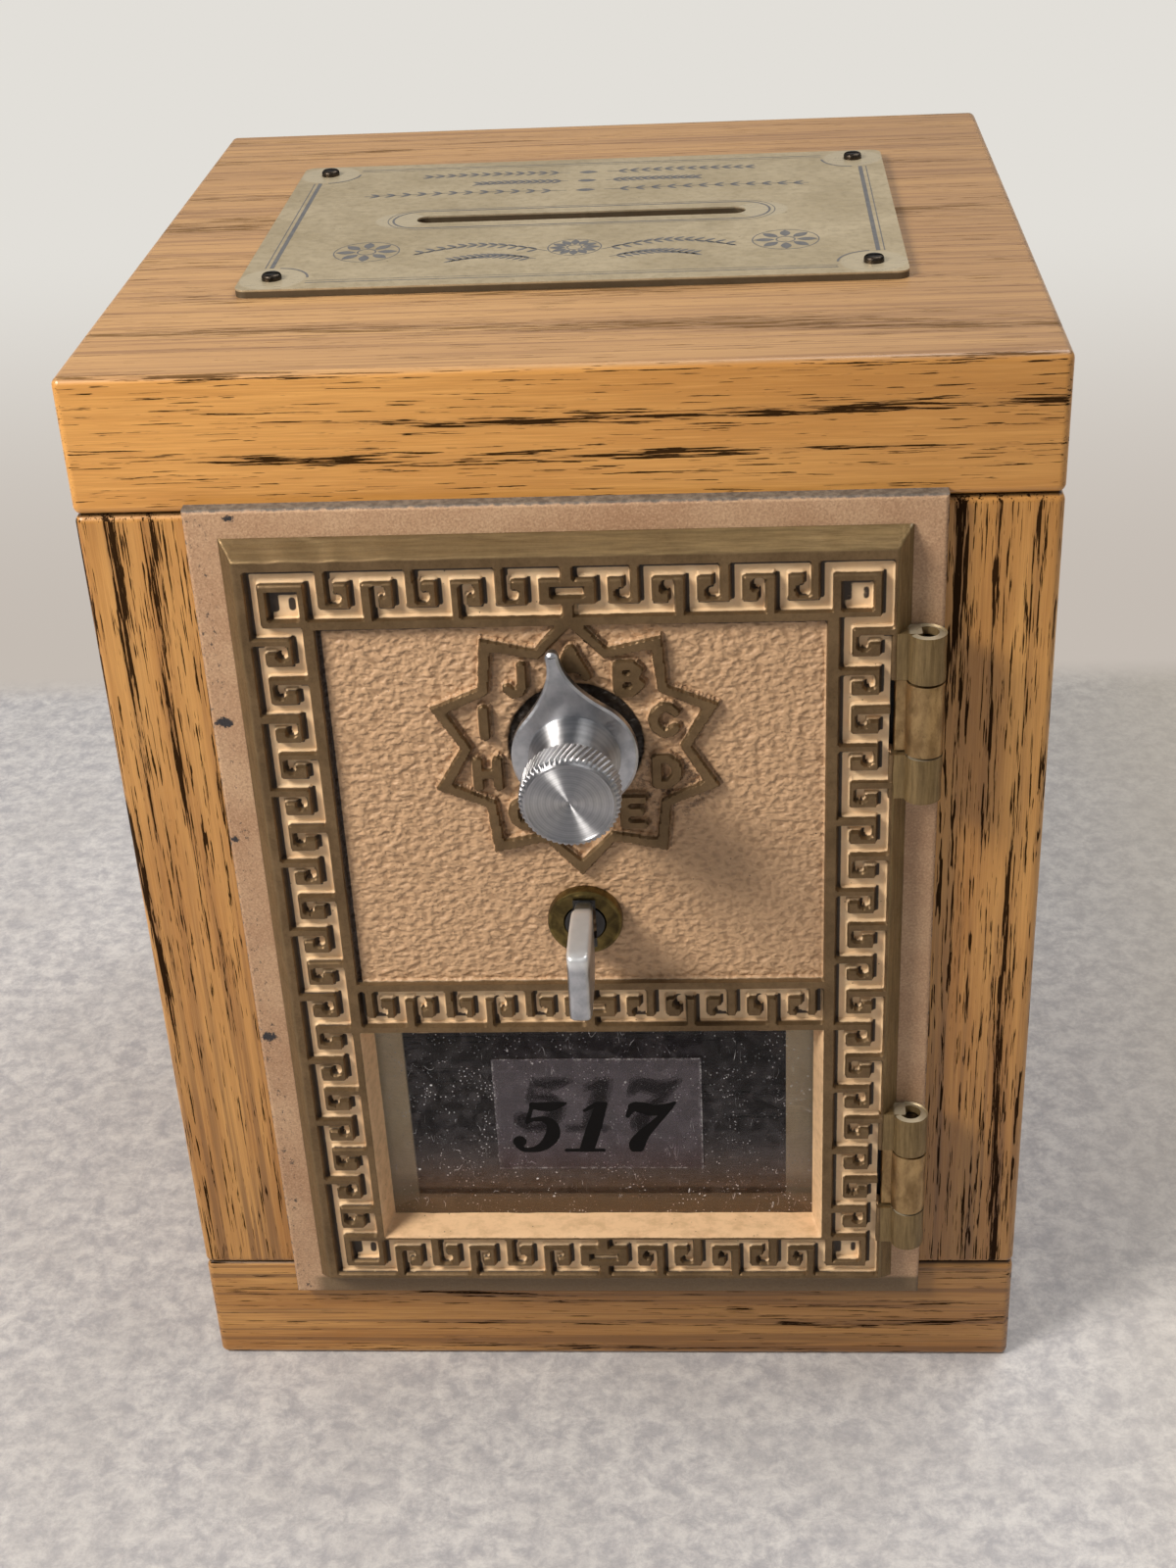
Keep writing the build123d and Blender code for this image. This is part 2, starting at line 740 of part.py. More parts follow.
# ------------------------------------------------------------------ door casting
with BuildPart() as door_casting:
    # Bevelled slab that laps over the flange, and the shallow rim that goes into the sleeve
    with BuildSketch(ahead(door_lap)):
        with Locations((0, door_z)):
            Rectangle(door_width, door_height)
    with BuildSketch(ahead(door_front)):
        with Locations((0, door_z)):
            Rectangle(door_width - 2 * door_bevel_width, door_height - 2 * door_bevel_width)
    loft()
    with BuildSketch(ahead(door_lap)):
        with Locations((0, door_z)):
            Rectangle(rim_width, rim_height)
    extrude(amount=-(door_lap + rim_depth))
    with BuildSketch(ahead(door_back)):
        with Locations((0, door_z)):
            Rectangle(2 * rim_inside_x, rim_height - 2 * rim_wall)
    extrude(amount=-(door_back + rim_depth), mode=Mode.SUBTRACT)

    # Window opening, a little wider at the front
    window_place = (window_x, window_middle)
    draft_shift = 2 * (door_front - door_back) * tan(radians(window_draft))
    with BuildSketch(ahead(door_back)):
        with Locations(window_place):
            Rectangle(window_width - draft_shift, window_top - window_bottom - draft_shift)
    with BuildSketch(ahead(door_front)):
        with Locations(window_place):
            Rectangle(window_width, window_top - window_bottom)
    loft(mode=Mode.SUBTRACT)

    # Hammered panel behind the dial, and the star's raised outline on it
    with BuildSketch(ahead(door_front)):
        with Locations((art_x, panel_middle)):
            Rectangle(panel_width, panel_top - panel_bottom)
    extrude(amount=-panel_depth, mode=Mode.SUBTRACT)
    with BuildSketch(ahead(panel_front)):
        with BuildLine():
            Polyline(*star_outline(star_tip_radius, star_notch_radius), close=True)
        make_face()
        with BuildLine():
            Polyline(
                *star_outline(star_tip_radius - star_tip_line, star_notch_radius - star_notch_line),
                close=True,
            )
        make_face(mode=Mode.SUBTRACT)
        with Locations((art_x, panel_middle)):
            Rectangle(panel_width, panel_top - panel_bottom, mode=Mode.INTERSECT)
    extrude(amount=panel_depth)
    recess_floor = panel_front - dial_recess_depth
    round_bar(dial_x, dial_z, dial_recess_radius, panel_front, recess_floor, Mode.SUBTRACT)

    # Grooved bands of the border and of the bar over the window
    with BuildSketch(ahead(door_front)):
        with Locations((art_x, art_z)):
            Rectangle(border_width, border_height)
            Rectangle(border_width - 2 * band, border_height - 2 * band, mode=Mode.SUBTRACT)
        with Locations((art_x, art_z + middle_z)):
            Rectangle(panel_width, middle_band)
    extrude(amount=-groove_depth, mode=Mode.SUBTRACT)

    # Keys, corner rings and centre bridges, standing in the bands
    key_height = band - 2 * key_groove
    middle_key_height = key_height * middle_band / band
    leg_reach = key_groove + slide_gap
    with BuildSketch(ahead(door_front - groove_depth)):
        with Locations((art_x, art_z)):
            for level, height, outward, key_rise in (
                (band_z, band, 1, key_height),
                (-band_z, band, -1, key_height),
                (middle_z, middle_band, 1, middle_key_height),
            ):
                bodies, legs, stems, ends = level_keys(level, height, outward)
                with Locations(*bodies):
                    Rectangle(key_body, key_rise)
                with Locations(*legs):
                    Rectangle(key_leg, leg_reach)
                with Locations(*stems):
                    Rectangle(comma_width, key_rise / 2, mode=Mode.SUBTRACT)
                with Locations(*ends):
                    Circle(comma_radius, mode=Mode.SUBTRACT)
                with Locations((0, level)):
                    Rectangle(bridge_width, key_rise)
                    Rectangle(bridge_stem, height)
                    Rectangle(bridge_slot_width, bridge_slot_height, mode=Mode.SUBTRACT)
            for hand in (-1, 1):
                bodies, legs, stems, ends = upright_keys(hand)
                with Locations(*bodies):
                    Rectangle(key_height, key_body)
                with Locations(*legs):
                    Rectangle(leg_reach, key_leg)
                with Locations(*stems):
                    Rectangle(key_height / 2, comma_width, mode=Mode.SUBTRACT)
                with Locations(*ends):
                    Circle(comma_radius, mode=Mode.SUBTRACT)
            ring_x = border_half_width - key_groove - corner_ring / 2
            ring_z = border_half_height - key_groove - corner_ring / 2
            with Locations(*[(x, z) for x in (-ring_x, ring_x) for z in (-ring_z, ring_z)]):
                Rectangle(corner_ring, corner_ring)
                hole = corner_ring - 2 * corner_ring_wall
                Rectangle(hole, hole, mode=Mode.SUBTRACT)
                Rectangle(corner_pad, corner_pad)
    extrude(amount=groove_depth)

    # Hinge knuckles, each with a short web, and the notches beside the frame's knuckles
    for level in hinge_levels:
        slab(
            (web_left, door_width / 2 + overrun),
            (level - half_knuckle - knuckle_gap, level + half_knuckle + knuckle_gap),
            door_front + overrun,
            flange_thickness,
            Mode.SUBTRACT,
        )
        for low, high in (
            (level - hinge_length / 2, level - half_knuckle - knuckle_gap),
            (level + half_knuckle + knuckle_gap, level + hinge_length / 2),
        ):
            upright_bar(hinge_x, hinge_y, hinge_radius, low, high)
            web_back = hinge_web_front - hinge_web_thickness
            slab((web_left, hinge_x), (low, high), hinge_web_front, web_back)
            upright_bar(hinge_x, hinge_y, pin_radius, low, high, Mode.SUBTRACT)

    # Bosses for the glass retainer, and the holes behind and through the face
    for x in (-retainer_boss_x, retainer_boss_x):
        for z in retainer_screw_levels:
            round_bar(x, z, retainer_boss_radius, door_back, glass_back)
    screw_holes(retainer_screw_places, retainer_screw_radius, retainer_screw_length)
    screw_holes(case_screw_places, case_screw_radius, case_wall + case_screw_bite)
    round_bar(dial_x, dial_z, spindle_radius + running, door_front, door_back, Mode.SUBTRACT)
    round_bar(handle_x, handle_z, shank_radius + running, door_front, door_back, Mode.SUBTRACT)
    for x in guide_xs:
        round_bar(x, guide_z, guide_thread_radius, guide_bite, door_back, Mode.SUBTRACT)
    slab(
        (-rim_width / 2, -rim_inside_x),
        (bolt_bottom - nose_clearance, bolt_top + nose_clearance),
        bolt_front + 2 * slide_gap,
        nose_back - nose_clearance,
        Mode.SUBTRACT,
    )
door_casting.part.label = "door_casting"
export_step(door_casting.part, "parts/door_casting.step")

# ------------------------------------------------------------------ hinge pins
with BuildPart() as hinge_pin_upper:
    pin_bottom = upper_hinge_z - hinge_length / 2
    upright_bar(hinge_x, hinge_y, pin_radius, pin_bottom, pin_bottom + hinge_length - pin_sink)
hinge_pin_upper.part.label = "hinge_pin_upper"
export_step(hinge_pin_upper.part, "parts/hinge_pin_upper.step")

with BuildPart() as hinge_pin_lower:
    pin_bottom = lower_hinge_z - hinge_length / 2
    upright_bar(hinge_x, hinge_y, pin_radius, pin_bottom, pin_bottom + hinge_length - pin_sink)
hinge_pin_lower.part.label = "hinge_pin_lower"
export_step(hinge_pin_lower.part, "parts/hinge_pin_lower.step")

# ------------------------------------------------------------------ window
glass_x = (-glass_half_width, glass_half_width)
glass_z = (glass_bottom, glass_top)

with BuildPart() as window_glass:
    slab(glass_x, glass_z, door_back, glass_back)
window_glass.part.label = "window_glass"
export_step(window_glass.part, "parts/window_glass.step")

with BuildPart() as number_decal:
    half_decal = decal_width / 2
    decal_x = (art_x - half_decal, art_x + half_decal)
    decal_z = (window_bottom + decal_bottom_margin, window_top - decal_top_margin)
    slab(decal_x, decal_z, door_back + decal_thickness, door_back)
number_decal.part.label = "number_decal"
export_step(number_decal.part, "parts/number_decal.step")

with BuildPart() as glass_retainer:
    retainer_z = (glass_bottom - retainer_margin, glass_top + retainer_margin)
    retainer_opening = window_width / 2 - retainer_side_land
    slab((-retainer_half_width, retainer_half_width), retainer_z, glass_back, retainer_back)
    slab(
        (-retainer_opening, retainer_opening),
        (window_bottom + retainer_end_land, window_top - retainer_end_land),
        glass_back,
        retainer_back,
        Mode.SUBTRACT,
    )
    screw_holes(retainer_screw_places, retainer_screw_radius, retainer_thickness)
glass_retainer.part.label = "glass_retainer"
export_step(glass_retainer.part, "parts/glass_retainer.step")

with BuildPart() as retainer_screws:
    pan_head(
        retainer_screw_places,
        retainer_screw_head,
        retainer_screw_head_height,
        retainer_screw_radius,
        retainer_screw_length,
    )
    driver_slot(retainer_screw_places, retainer_screw_head, retainer_screw_head_height)
retainer_screws.part.label = "retainer_screws"
export_step(retainer_screws.part, "parts/retainer_screws.step")

# ------------------------------------------------------------------ lock case
case_x = (case_left, case_right)
case_z = (case_bottom, case_top)
inside_x = (case_left + case_wall, case_right_inside)
inside_z = (case_bottom + case_wall, case_top - case_wall)

with BuildPart() as lock_case:
    slab(case_x, case_z, door_back, cover_front)
    slab(inside_x, inside_z, case_floor, cover_front, Mode.SUBTRACT)
    for x in post_x:
        for z in post_z:
            round_bar(x, z, case_post_radius, case_floor, cover_front)
    countersunk(
        cover_screw_places, cover_screw_head, cover_screw_radius, cover_screw_length, Mode.SUBTRACT
    )
    screw_holes(case_screw_places, case_screw_radius, case_wall)
    round_bar(dial_x, dial_z, spindle_radius + stack_gap, door_back, case_floor, Mode.SUBTRACT)
    round_bar(handle_x, handle_z, shank_radius + running, door_back, case_floor, Mode.SUBTRACT)
    for x in guide_xs:
        round_bar(x, guide_z, guide_thread_radius, door_back, case_floor, Mode.SUBTRACT)
    slab(
        (case_left, case_left + case_wall),
        (bolt_bottom - nose_clearance, bolt_top + nose_clearance),
        bolt_front + slide_gap,
        nose_back - nose_clearance,
        Mode.SUBTRACT,
    )
    screw_holes(
        driven([spot(case_right, spring_front, spring_z)], (-1, 0, 0)), guide_pin_radius, case_wall
    )
lock_case.part.label = "lock_case"
export_step(lock_case.part, "parts/lock_case.step")

with BuildPart() as lock_case_screws:
    pan_head(
        case_screw_places,
        case_screw_head,
        case_screw_head_height,
        case_screw_radius,
        case_wall + case_screw_bite,
    )
    driver_slot(case_screw_places, case_screw_head, case_screw_head_height)
lock_case_screws.part.label = "lock_case_screws"
export_step(lock_case_screws.part, "parts/lock_case_screws.step")

with BuildPart() as lock_cover:
    slab(case_x, case_z, cover_front, cover_back)
    countersunk(
        cover_screw_places, cover_screw_head, cover_screw_radius, cover_screw_length, Mode.SUBTRACT
    )
    round_bar(dial_x, dial_z, post_tenon_radius, cover_front, cover_back, Mode.SUBTRACT)
lock_cover.part.label = "lock_cover"
export_step(lock_cover.part, "parts/lock_cover.step")

with BuildPart() as lock_cover_screws:
    countersunk(cover_screw_places, cover_screw_head, cover_screw_radius, cover_screw_length)
    driver_slot(cover_screw_places, cover_screw_head, 0)
lock_cover_screws.part.label = "lock_cover_screws"
export_step(lock_cover_screws.part, "parts/lock_cover_screws.step")

# ------------------------------------------------------------------ dial
with BuildPart() as dial_knob:
    with BuildSketch(Plane.YZ.offset(dial_x)):
        with BuildLine():
            Polyline(
                (front_y - knob_back, dial_z),
                (front_y - knob_back, dial_z + knob_flange_radius),
                (front_y - knob_flange_front, dial_z + knob_flange_radius),
                (front_y - knob_neck_front, dial_z + knob_neck_radius),
                (front_y - knob_head_back + 2 * knob_chamfer, dial_z + knob_neck_radius + knob_head_flare),
                (front_y - knob_head_back, dial_z + knob_head_radius),
                (front_y - knob_front + knob_chamfer, dial_z + knob_head_radius),
                (front_y - knob_front, dial_z + knob_head_radius - knob_chamfer),
                (front_y - knob_front, dial_z),
                close=True,
            )
        make_face()
    revolve(axis=Axis((dial_x, 0, dial_z), (0, 1, 0)))
    round_bar(dial_x, dial_z, spindle_radius, knob_back, knob_back + spindle_bury, Mode.SUBTRACT)
dial_knob.part.label = "dial_knob"
export_step(dial_knob.part, "parts/dial_knob.step")

with BuildPart() as dial_pointer:
    # A disc drawn out to a rounded tip, with hollow flanks between the two
    tip_circle = pointer_reach - pointer_tip_radius
    tip_turn = degrees(asin(pointer_tip_radius / tip_circle))
    waist_circle = hypot(pointer_waist_reach, pointer_waist_half_width)
    waist_turn = degrees(atan2(pointer_waist_half_width, pointer_waist_reach))
    pointing = 90 + pointer_lean
    left_flank, right_flank = [
        [
            on_circle(dial_x, dial_z, tip_circle, pointing + side * tip_turn),
            on_circle(dial_x, dial_z, waist_circle, pointing + side * waist_turn),
            on_circle(dial_x, dial_z, pointer_radius, pointing + side * pointer_foot_angle),
        ]
        for side in (1, -1)
    ]
    with BuildSketch(ahead(pointer_back)):
        with BuildLine():
            ThreePointArc(*left_flank)
            Line(left_flank[2], (dial_x, dial_z))
            Line((dial_x, dial_z), right_flank[2])
            ThreePointArc(*right_flank)
            Line(right_flank[0], left_flank[0])
        make_face()
        with Locations(on_circle(dial_x, dial_z, tip_circle, pointing)):
            Circle(pointer_tip_radius)
        with Locations((dial_x, dial_z)):
            Circle(pointer_radius)
        with Locations((dial_x, dial_z)):
            Circle(spindle_radius, mode=Mode.SUBTRACT)
    extrude(amount=pointer_thickness)
dial_pointer.part.label = "dial_pointer"
export_step(dial_pointer.part, "parts/dial_pointer.step")

with BuildPart() as dial_spindle:
    round_bar(dial_x, dial_z, spindle_radius, knob_back + spindle_bury, spindle_end)
    collar_back = recess_floor + slide_gap
    round_bar(dial_x, dial_z, spindle_collar_radius, pointer_back, collar_back)
dial_spindle.part.label = "dial_spindle"
export_step(dial_spindle.part, "parts/dial_spindle.step")

with BuildPart() as drive_cam:
    round_bar(dial_x, dial_z, drive_cam_radius, drive_cam_front, drive_cam_back)
    pin_x, pin_z = on_circle(dial_x, dial_z, pick_up_circle, pin_angles[0])
    round_bar(pin_x, pin_z, pick_up_pin_radius, drive_cam_back, drive_cam_back - pick_up_pin_length)
    round_bar(dial_x, dial_z, spindle_radius, drive_cam_front, drive_cam_back, Mode.SUBTRACT)
drive_cam.part.label = "drive_cam"
export_step(drive_cam.part, "parts/drive_cam.step")

# ------------------------------------------------------------------ wheel post and its rings
with BuildPart() as wheel_post:
    round_bar(dial_x, dial_z, post_radius, post_front, cover_front)
    round_bar(dial_x, dial_z, post_tenon_radius, cover_front, cover_back)
    round_bar(dial_x, dial_z, spindle_radius + running, post_front, cover_back, Mode.SUBTRACT)
wheel_post.part.label = "wheel_post"
export_step(wheel_post.part, "parts/wheel_post.step")

with BuildPart() as wheel_clip:
    round_bar(dial_x, dial_z, spacer_radius, clip_front, clip_back)
    round_bar(dial_x, dial_z, post_radius, clip_front, clip_back, Mode.SUBTRACT)
wheel_clip.part.label = "wheel_clip"
export_step(wheel_clip.part, "parts/wheel_clip.step")

with BuildPart() as wheel_spacers:
    for front in wheel_fronts:
        ring_front = front - wheel_thickness - spacer_gap
        ring_back = max(front - wheel_step + spacer_gap, cover_front + spacer_gap)
        round_bar(dial_x, dial_z, spacer_radius, ring_front, ring_back)
    round_bar(dial_x, dial_z, post_radius + running, post_front, cover_front, Mode.SUBTRACT)
wheel_spacers.part.label = "wheel_spacers"
export_step(wheel_spacers.part, "parts/wheel_spacers.step")


def tumbler_wheel(front, pin_angle, last):
    """A wheel with its gate at nine o'clock, its ring of change holes and its pick-up pin."""
    back = front - wheel_thickness
    pin_x, pin_z = on_circle(dial_x, dial_z, pick_up_circle, pin_angle)
    pin_back = back if last else back - pick_up_pin_length
    gate_half = fence_height / 2 + nose_clearance
    round_bar(dial_x, dial_z, wheel_radius, front, back)
    round_bar(pin_x, pin_z, pick_up_pin_radius, front + pick_up_pin_length, pin_back)
    round_bar(dial_x, dial_z, post_radius + running, front, back, Mode.SUBTRACT)
    slab(
        (dial_x - wheel_radius - overrun, dial_x - gate_bottom),
        (dial_z - gate_half, dial_z + gate_half),
        front,
        back,
        Mode.SUBTRACT,
    )
    for n in range(1, letters):
        hole_x, hole_z = on_circle(dial_x, dial_z, change_hole_circle, 180 + n * letter_angle)
        round_bar(hole_x, hole_z, change_hole_radius, front, back, Mode.SUBTRACT)


with BuildPart() as tumbler_wheel_1:
    tumbler_wheel(wheel_fronts[0], pin_angles[1], False)
tumbler_wheel_1.part.label = "tumbler_wheel_1"
export_step(tumbler_wheel_1.part, "parts/tumbler_wheel_1.step")

with BuildPart() as tumbler_wheel_2:
    tumbler_wheel(wheel_fronts[1], pin_angles[2], False)
tumbler_wheel_2.part.label = "tumbler_wheel_2"
export_step(tumbler_wheel_2.part, "parts/tumbler_wheel_2.step")

with BuildPart() as tumbler_wheel_3:
    tumbler_wheel(wheel_fronts[2], pin_angles[3], True)
tumbler_wheel_3.part.label = "tumbler_wheel_3"
export_step(tumbler_wheel_3.part, "parts/tumbler_wheel_3.step")

# ------------------------------------------------------------------ thumb turn
with BuildPart() as handle_rose:
    round_bar(handle_x, handle_z, rose_radius, panel_front, rose_front)
    round_bar(handle_x, handle_z, shank_radius + running, panel_front, rose_front, Mode.SUBTRACT)
handle_rose.part.label = "handle_rose"
export_step(handle_rose.part, "parts/handle_rose.step")

with BuildPart() as latch_handle:
    fin_base = rose_front + slide_gap
    with BuildSketch(Plane.YZ.offset(handle_x)):
        with BuildLine():
            Polyline(
                (front_y - fin_base, handle_z - fin_neck_height / 2),
                (front_y - fin_neck_front, handle_z - fin_height / 2),
                (front_y - fin_front, handle_z - fin_height / 2),
                (front_y - fin_front, handle_z + fin_height / 2),
                (front_y - fin_neck_front, handle_z + fin_height / 2),
                (front_y - fin_base, handle_z + fin_neck_height / 2),
                close=True,
            )
        make_face()
    extrude(amount=fin_thickness / 2, both=True)
    fillet(latch_handle.edges().filter_by(Axis.X).group_by(Axis.Y)[0], fin_round)
    round_bar(handle_x, handle_z, shank_radius, fin_base, bolt_cam_front)
    with BuildSketch(ahead(bolt_cam_front)):
        with Locations((handle_x, handle_z)):
            Rectangle(shank_square, shank_square)
    extrude(amount=bolt_cam_back - bolt_cam_front)
    shank_end = bolt_cam_back - nut_thickness - thread_end
    round_bar(handle_x, handle_z, thread_radius, bolt_cam_back, shank_end)
latch_handle.part.label = "latch_handle"
export_step(latch_handle.part, "parts/latch_handle.step")

with BuildPart() as bolt_cam:
    with BuildSketch(ahead(bolt_cam_front)):
        with Locations((handle_x, handle_z)):
            Circle(shank_radius + bolt_cam_land)
        with Locations((cam_pin_x, cam_pin_z)):
            Circle(cam_pin_radius + bolt_cam_tip)
        make_hull()
        with Locations((handle_x, handle_z)):
            Rectangle(shank_square, shank_square, mode=Mode.SUBTRACT)
    extrude(amount=bolt_cam_back - bolt_cam_front)
    round_bar(cam_pin_x, cam_pin_z, cam_pin_radius, bolt_front - cam_pin_end, bolt_cam_front)
bolt_cam.part.label = "bolt_cam"
export_step(bolt_cam.part, "parts/bolt_cam.step")

with BuildPart() as cam_nut:
    with BuildSketch(ahead(bolt_cam_back)):
        with Locations((handle_x, handle_z)):
            RegularPolygon(nut_across / 2, 6, major_radius=False)
            Circle(thread_radius, mode=Mode.SUBTRACT)
    extrude(amount=-nut_thickness)
cam_nut.part.label = "cam_nut"
export_step(cam_nut.part, "parts/cam_nut.step")

# ------------------------------------------------------------------ bolt
with BuildPart() as latch_bolt:
    with BuildSketch(Plane.XY.offset(bolt_bottom)):
        with BuildLine():
            Polyline(
                (nose_tip, front_y - bolt_front),
                (nose_tip, front_y - bolt_back),
                (nose_tip + nose_bevel, front_y - nose_back),
                (lap_end, front_y - nose_back),
                (lap_end, front_y - bolt_back),
                (nose_root, front_y - bolt_back),
                (nose_root, front_y - bolt_front),
                close=True,
            )
        make_face()
    extrude(amount=bolt_height)
    for z in rivet_levels:
        round_bar(rivet_x, z, rivet_radius, bolt_front, nose_back, Mode.SUBTRACT)
latch_bolt.part.label = "latch_bolt"
export_step(latch_bolt.part, "parts/latch_bolt.step")

with BuildPart() as bolt_plate:
    slab((nose_root, plate_right), (bolt_bottom, bolt_top), bolt_front, bolt_back)
    slab((arm_left, arm_right), (bolt_top, arm_top), bolt_front, bolt_back)
    ear_z = (spring_z - ear_half_height, spring_z + ear_half_height)
    slab((tab_left, ear_right), (ear_z[0], bolt_bottom), bolt_front, bolt_back)
    slab((ear_left, ear_right), ear_z, bolt_back, bolt_back - ear_depth)
    half_pin_slot = cam_pin_radius + slot_clearance
    pin_slot_top = handle_z + cam_pin_circle + cam_pin_radius + 2 * slot_clearance
    slab(
        (cam_pin_x - half_pin_slot, cam_pin_x + half_pin_slot),
        (bolt_bottom, pin_slot_top),
        bolt_front,
        bolt_back,
        Mode.SUBTRACT,
    )
    with BuildSketch(ahead(bolt_front)):
        guide_slots = [(x - bolt_throw / 2, guide_z) for x in guide_xs]
        with Locations(*guide_slots):
            SlotCenterToCenter(bolt_throw, 2 * (guide_radius + slide_gap))
    extrude(amount=-bolt_plate_thickness, mode=Mode.SUBTRACT)
    for z in rivet_levels:
        round_bar(rivet_x, z, rivet_radius, bolt_front, bolt_back, Mode.SUBTRACT)
    round_bar(fence_x, dial_z, rivet_radius, bolt_front, bolt_back, Mode.SUBTRACT)
    pin_way = driven([spot(tab_left, spring_front, spring_z)], (1, 0, 0))
    screw_holes(pin_way, guide_pin_radius + stack_gap, ear_right - tab_left)
bolt_plate.part.label = "bolt_plate"
export_step(bolt_plate.part, "parts/bolt_plate.step")

with BuildPart() as bolt_fence:
    fence_z = (dial_z - fence_height / 2, dial_z + fence_height / 2)
    slab((fence_lead - fence_width, fence_lead), fence_z, bolt_back, spindle_end)
    round_bar(fence_x, dial_z, rivet_radius, bolt_front, bolt_back)
bolt_fence.part.label = "bolt_fence"
export_step(bolt_fence.part, "parts/bolt_fence.step")

with BuildPart() as bolt_rivets:
    for z in rivet_levels:
        round_bar(rivet_x, z, rivet_radius, bolt_front, nose_back)
bolt_rivets.part.label = "bolt_rivets"
export_step(bolt_rivets.part, "parts/bolt_rivets.step")

with BuildPart() as bolt_guide_screws:
    shoulder_back = bolt_back - slide_gap
    guide_head_back = shoulder_back - guide_head_thickness
    guide_places = driven([spot(x, guide_head_back, guide_z) for x in guide_xs], (0, -1, 0))
    for x in guide_xs:
        round_bar(x, guide_z, guide_thread_radius, guide_bite, case_floor)
        round_bar(x, guide_z, guide_radius, case_floor, shoulder_back)
        round_bar(x, guide_z, guide_head_radius, shoulder_back, guide_head_back)
    driver_slot(guide_places, guide_head_radius, 0)
bolt_guide_screws.part.label = "bolt_guide_screws"
export_step(bolt_guide_screws.part, "parts/bolt_guide_screws.step")

with BuildPart() as bolt_spring:
    spring_start = ear_right + slide_gap + spring_wire
    spring_length = case_right_inside - slide_gap - spring_wire - spring_start
    with BuildLine():
        coil = Helix(
            pitch=spring_length / spring_turns,
            height=spring_length,
            radius=spring_radius - spring_wire,
            center=spot(spring_start, spring_front, spring_z),
            direction=(1, 0, 0),
        )
    with BuildSketch(Plane(origin=coil @ 0, z_dir=coil % 0)):
        Circle(spring_wire)
    sweep(path=coil, is_frenet=True)
bolt_spring.part.label = "bolt_spring"
export_step(bolt_spring.part, "parts/bolt_spring.step")

with BuildPart() as spring_guide_pin:
    with Locations(*driven([spot(case_right, spring_front, spring_z)], (-1, 0, 0))):
        Cylinder(
            guide_pin_radius,
            case_wall + guide_pin_reach,
            align=(Align.CENTER, Align.CENTER, Align.MIN),
        )
spring_guide_pin.part.label = "spring_guide_pin"
export_step(spring_guide_pin.part, "parts/spring_guide_pin.step")
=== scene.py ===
import json
import math
import bpy
import numpy as np
from mathutils import Matrix, Vector


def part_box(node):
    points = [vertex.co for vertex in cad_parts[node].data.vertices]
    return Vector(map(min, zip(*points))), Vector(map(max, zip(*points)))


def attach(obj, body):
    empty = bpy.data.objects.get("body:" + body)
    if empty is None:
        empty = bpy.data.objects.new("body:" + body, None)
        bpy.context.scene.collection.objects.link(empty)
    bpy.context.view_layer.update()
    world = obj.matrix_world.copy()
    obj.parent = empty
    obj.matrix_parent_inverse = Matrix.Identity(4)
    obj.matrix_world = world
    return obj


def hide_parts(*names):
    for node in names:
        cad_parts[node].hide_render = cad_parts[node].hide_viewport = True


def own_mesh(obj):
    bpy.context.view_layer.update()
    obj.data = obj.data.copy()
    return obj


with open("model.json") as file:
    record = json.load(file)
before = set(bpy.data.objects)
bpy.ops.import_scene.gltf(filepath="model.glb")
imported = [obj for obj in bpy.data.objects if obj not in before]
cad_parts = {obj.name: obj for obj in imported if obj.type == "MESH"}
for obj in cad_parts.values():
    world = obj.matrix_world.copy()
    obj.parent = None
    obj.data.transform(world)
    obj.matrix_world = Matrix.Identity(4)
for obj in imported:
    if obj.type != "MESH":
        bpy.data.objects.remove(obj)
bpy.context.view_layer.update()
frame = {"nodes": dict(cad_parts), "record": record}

# Sizes are in millimetres in the part's frame, and every mesh is scaled to metres when it is made.
# "Ahead" is the distance in front of the box's front face. Colours are 0-255 screen values.
MM = 0.001
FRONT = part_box("top_board")[0].y / MM
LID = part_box("top_board")[1].z / MM
LID_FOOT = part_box("top_board")[0].z / MM
SOLE_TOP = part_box("bottom_board")[1].z / MM
DOOR_MIDDLE = (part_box("door_casting")[0].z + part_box("door_casting")[1].z) / 2 / MM
PLATE_LOW, PLATE_HIGH = (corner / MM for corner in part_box("coin_plate"))
PLATE_MIDDLE = ((PLATE_LOW.x + PLATE_HIGH.x) / 2, (PLATE_LOW.y + PLATE_HIGH.y) / 2)
PLATE_HALF = ((PLATE_HIGH.x - PLATE_LOW.x) / 2, (PLATE_HIGH.y - PLATE_LOW.y) / 2)
PLATE_TOP = LID + 1.0
PLATE_SCREW, PLATE_CURL = (37.15, 24.25), 4.4
SLOT_END, SLOT_END_RADIUS = 24.0, 3.6
DIAL = (0.4, 104.0)
THUMB = (0.4, 79.2)
DECAL, DECAL_HALF, DECAL_FRAY = (0.4, 45.25), (13.95, 9.35), 0.45
rng = np.random.default_rng(7)


def add_object(name, data):
    """An object in the scene that shows data."""
    ob = bpy.data.objects.new(name, data)
    bpy.context.scene.collection.objects.link(ob)
    return ob


def srgb(r, g, b):
    """A screen colour as a node takes it."""
    linear = [(c / 255 / 12.92) if c <= 10 else ((c / 255 + 0.055) / 1.055) ** 2.4 for c in (r, g, b)]
    return (*linear, 1.0)


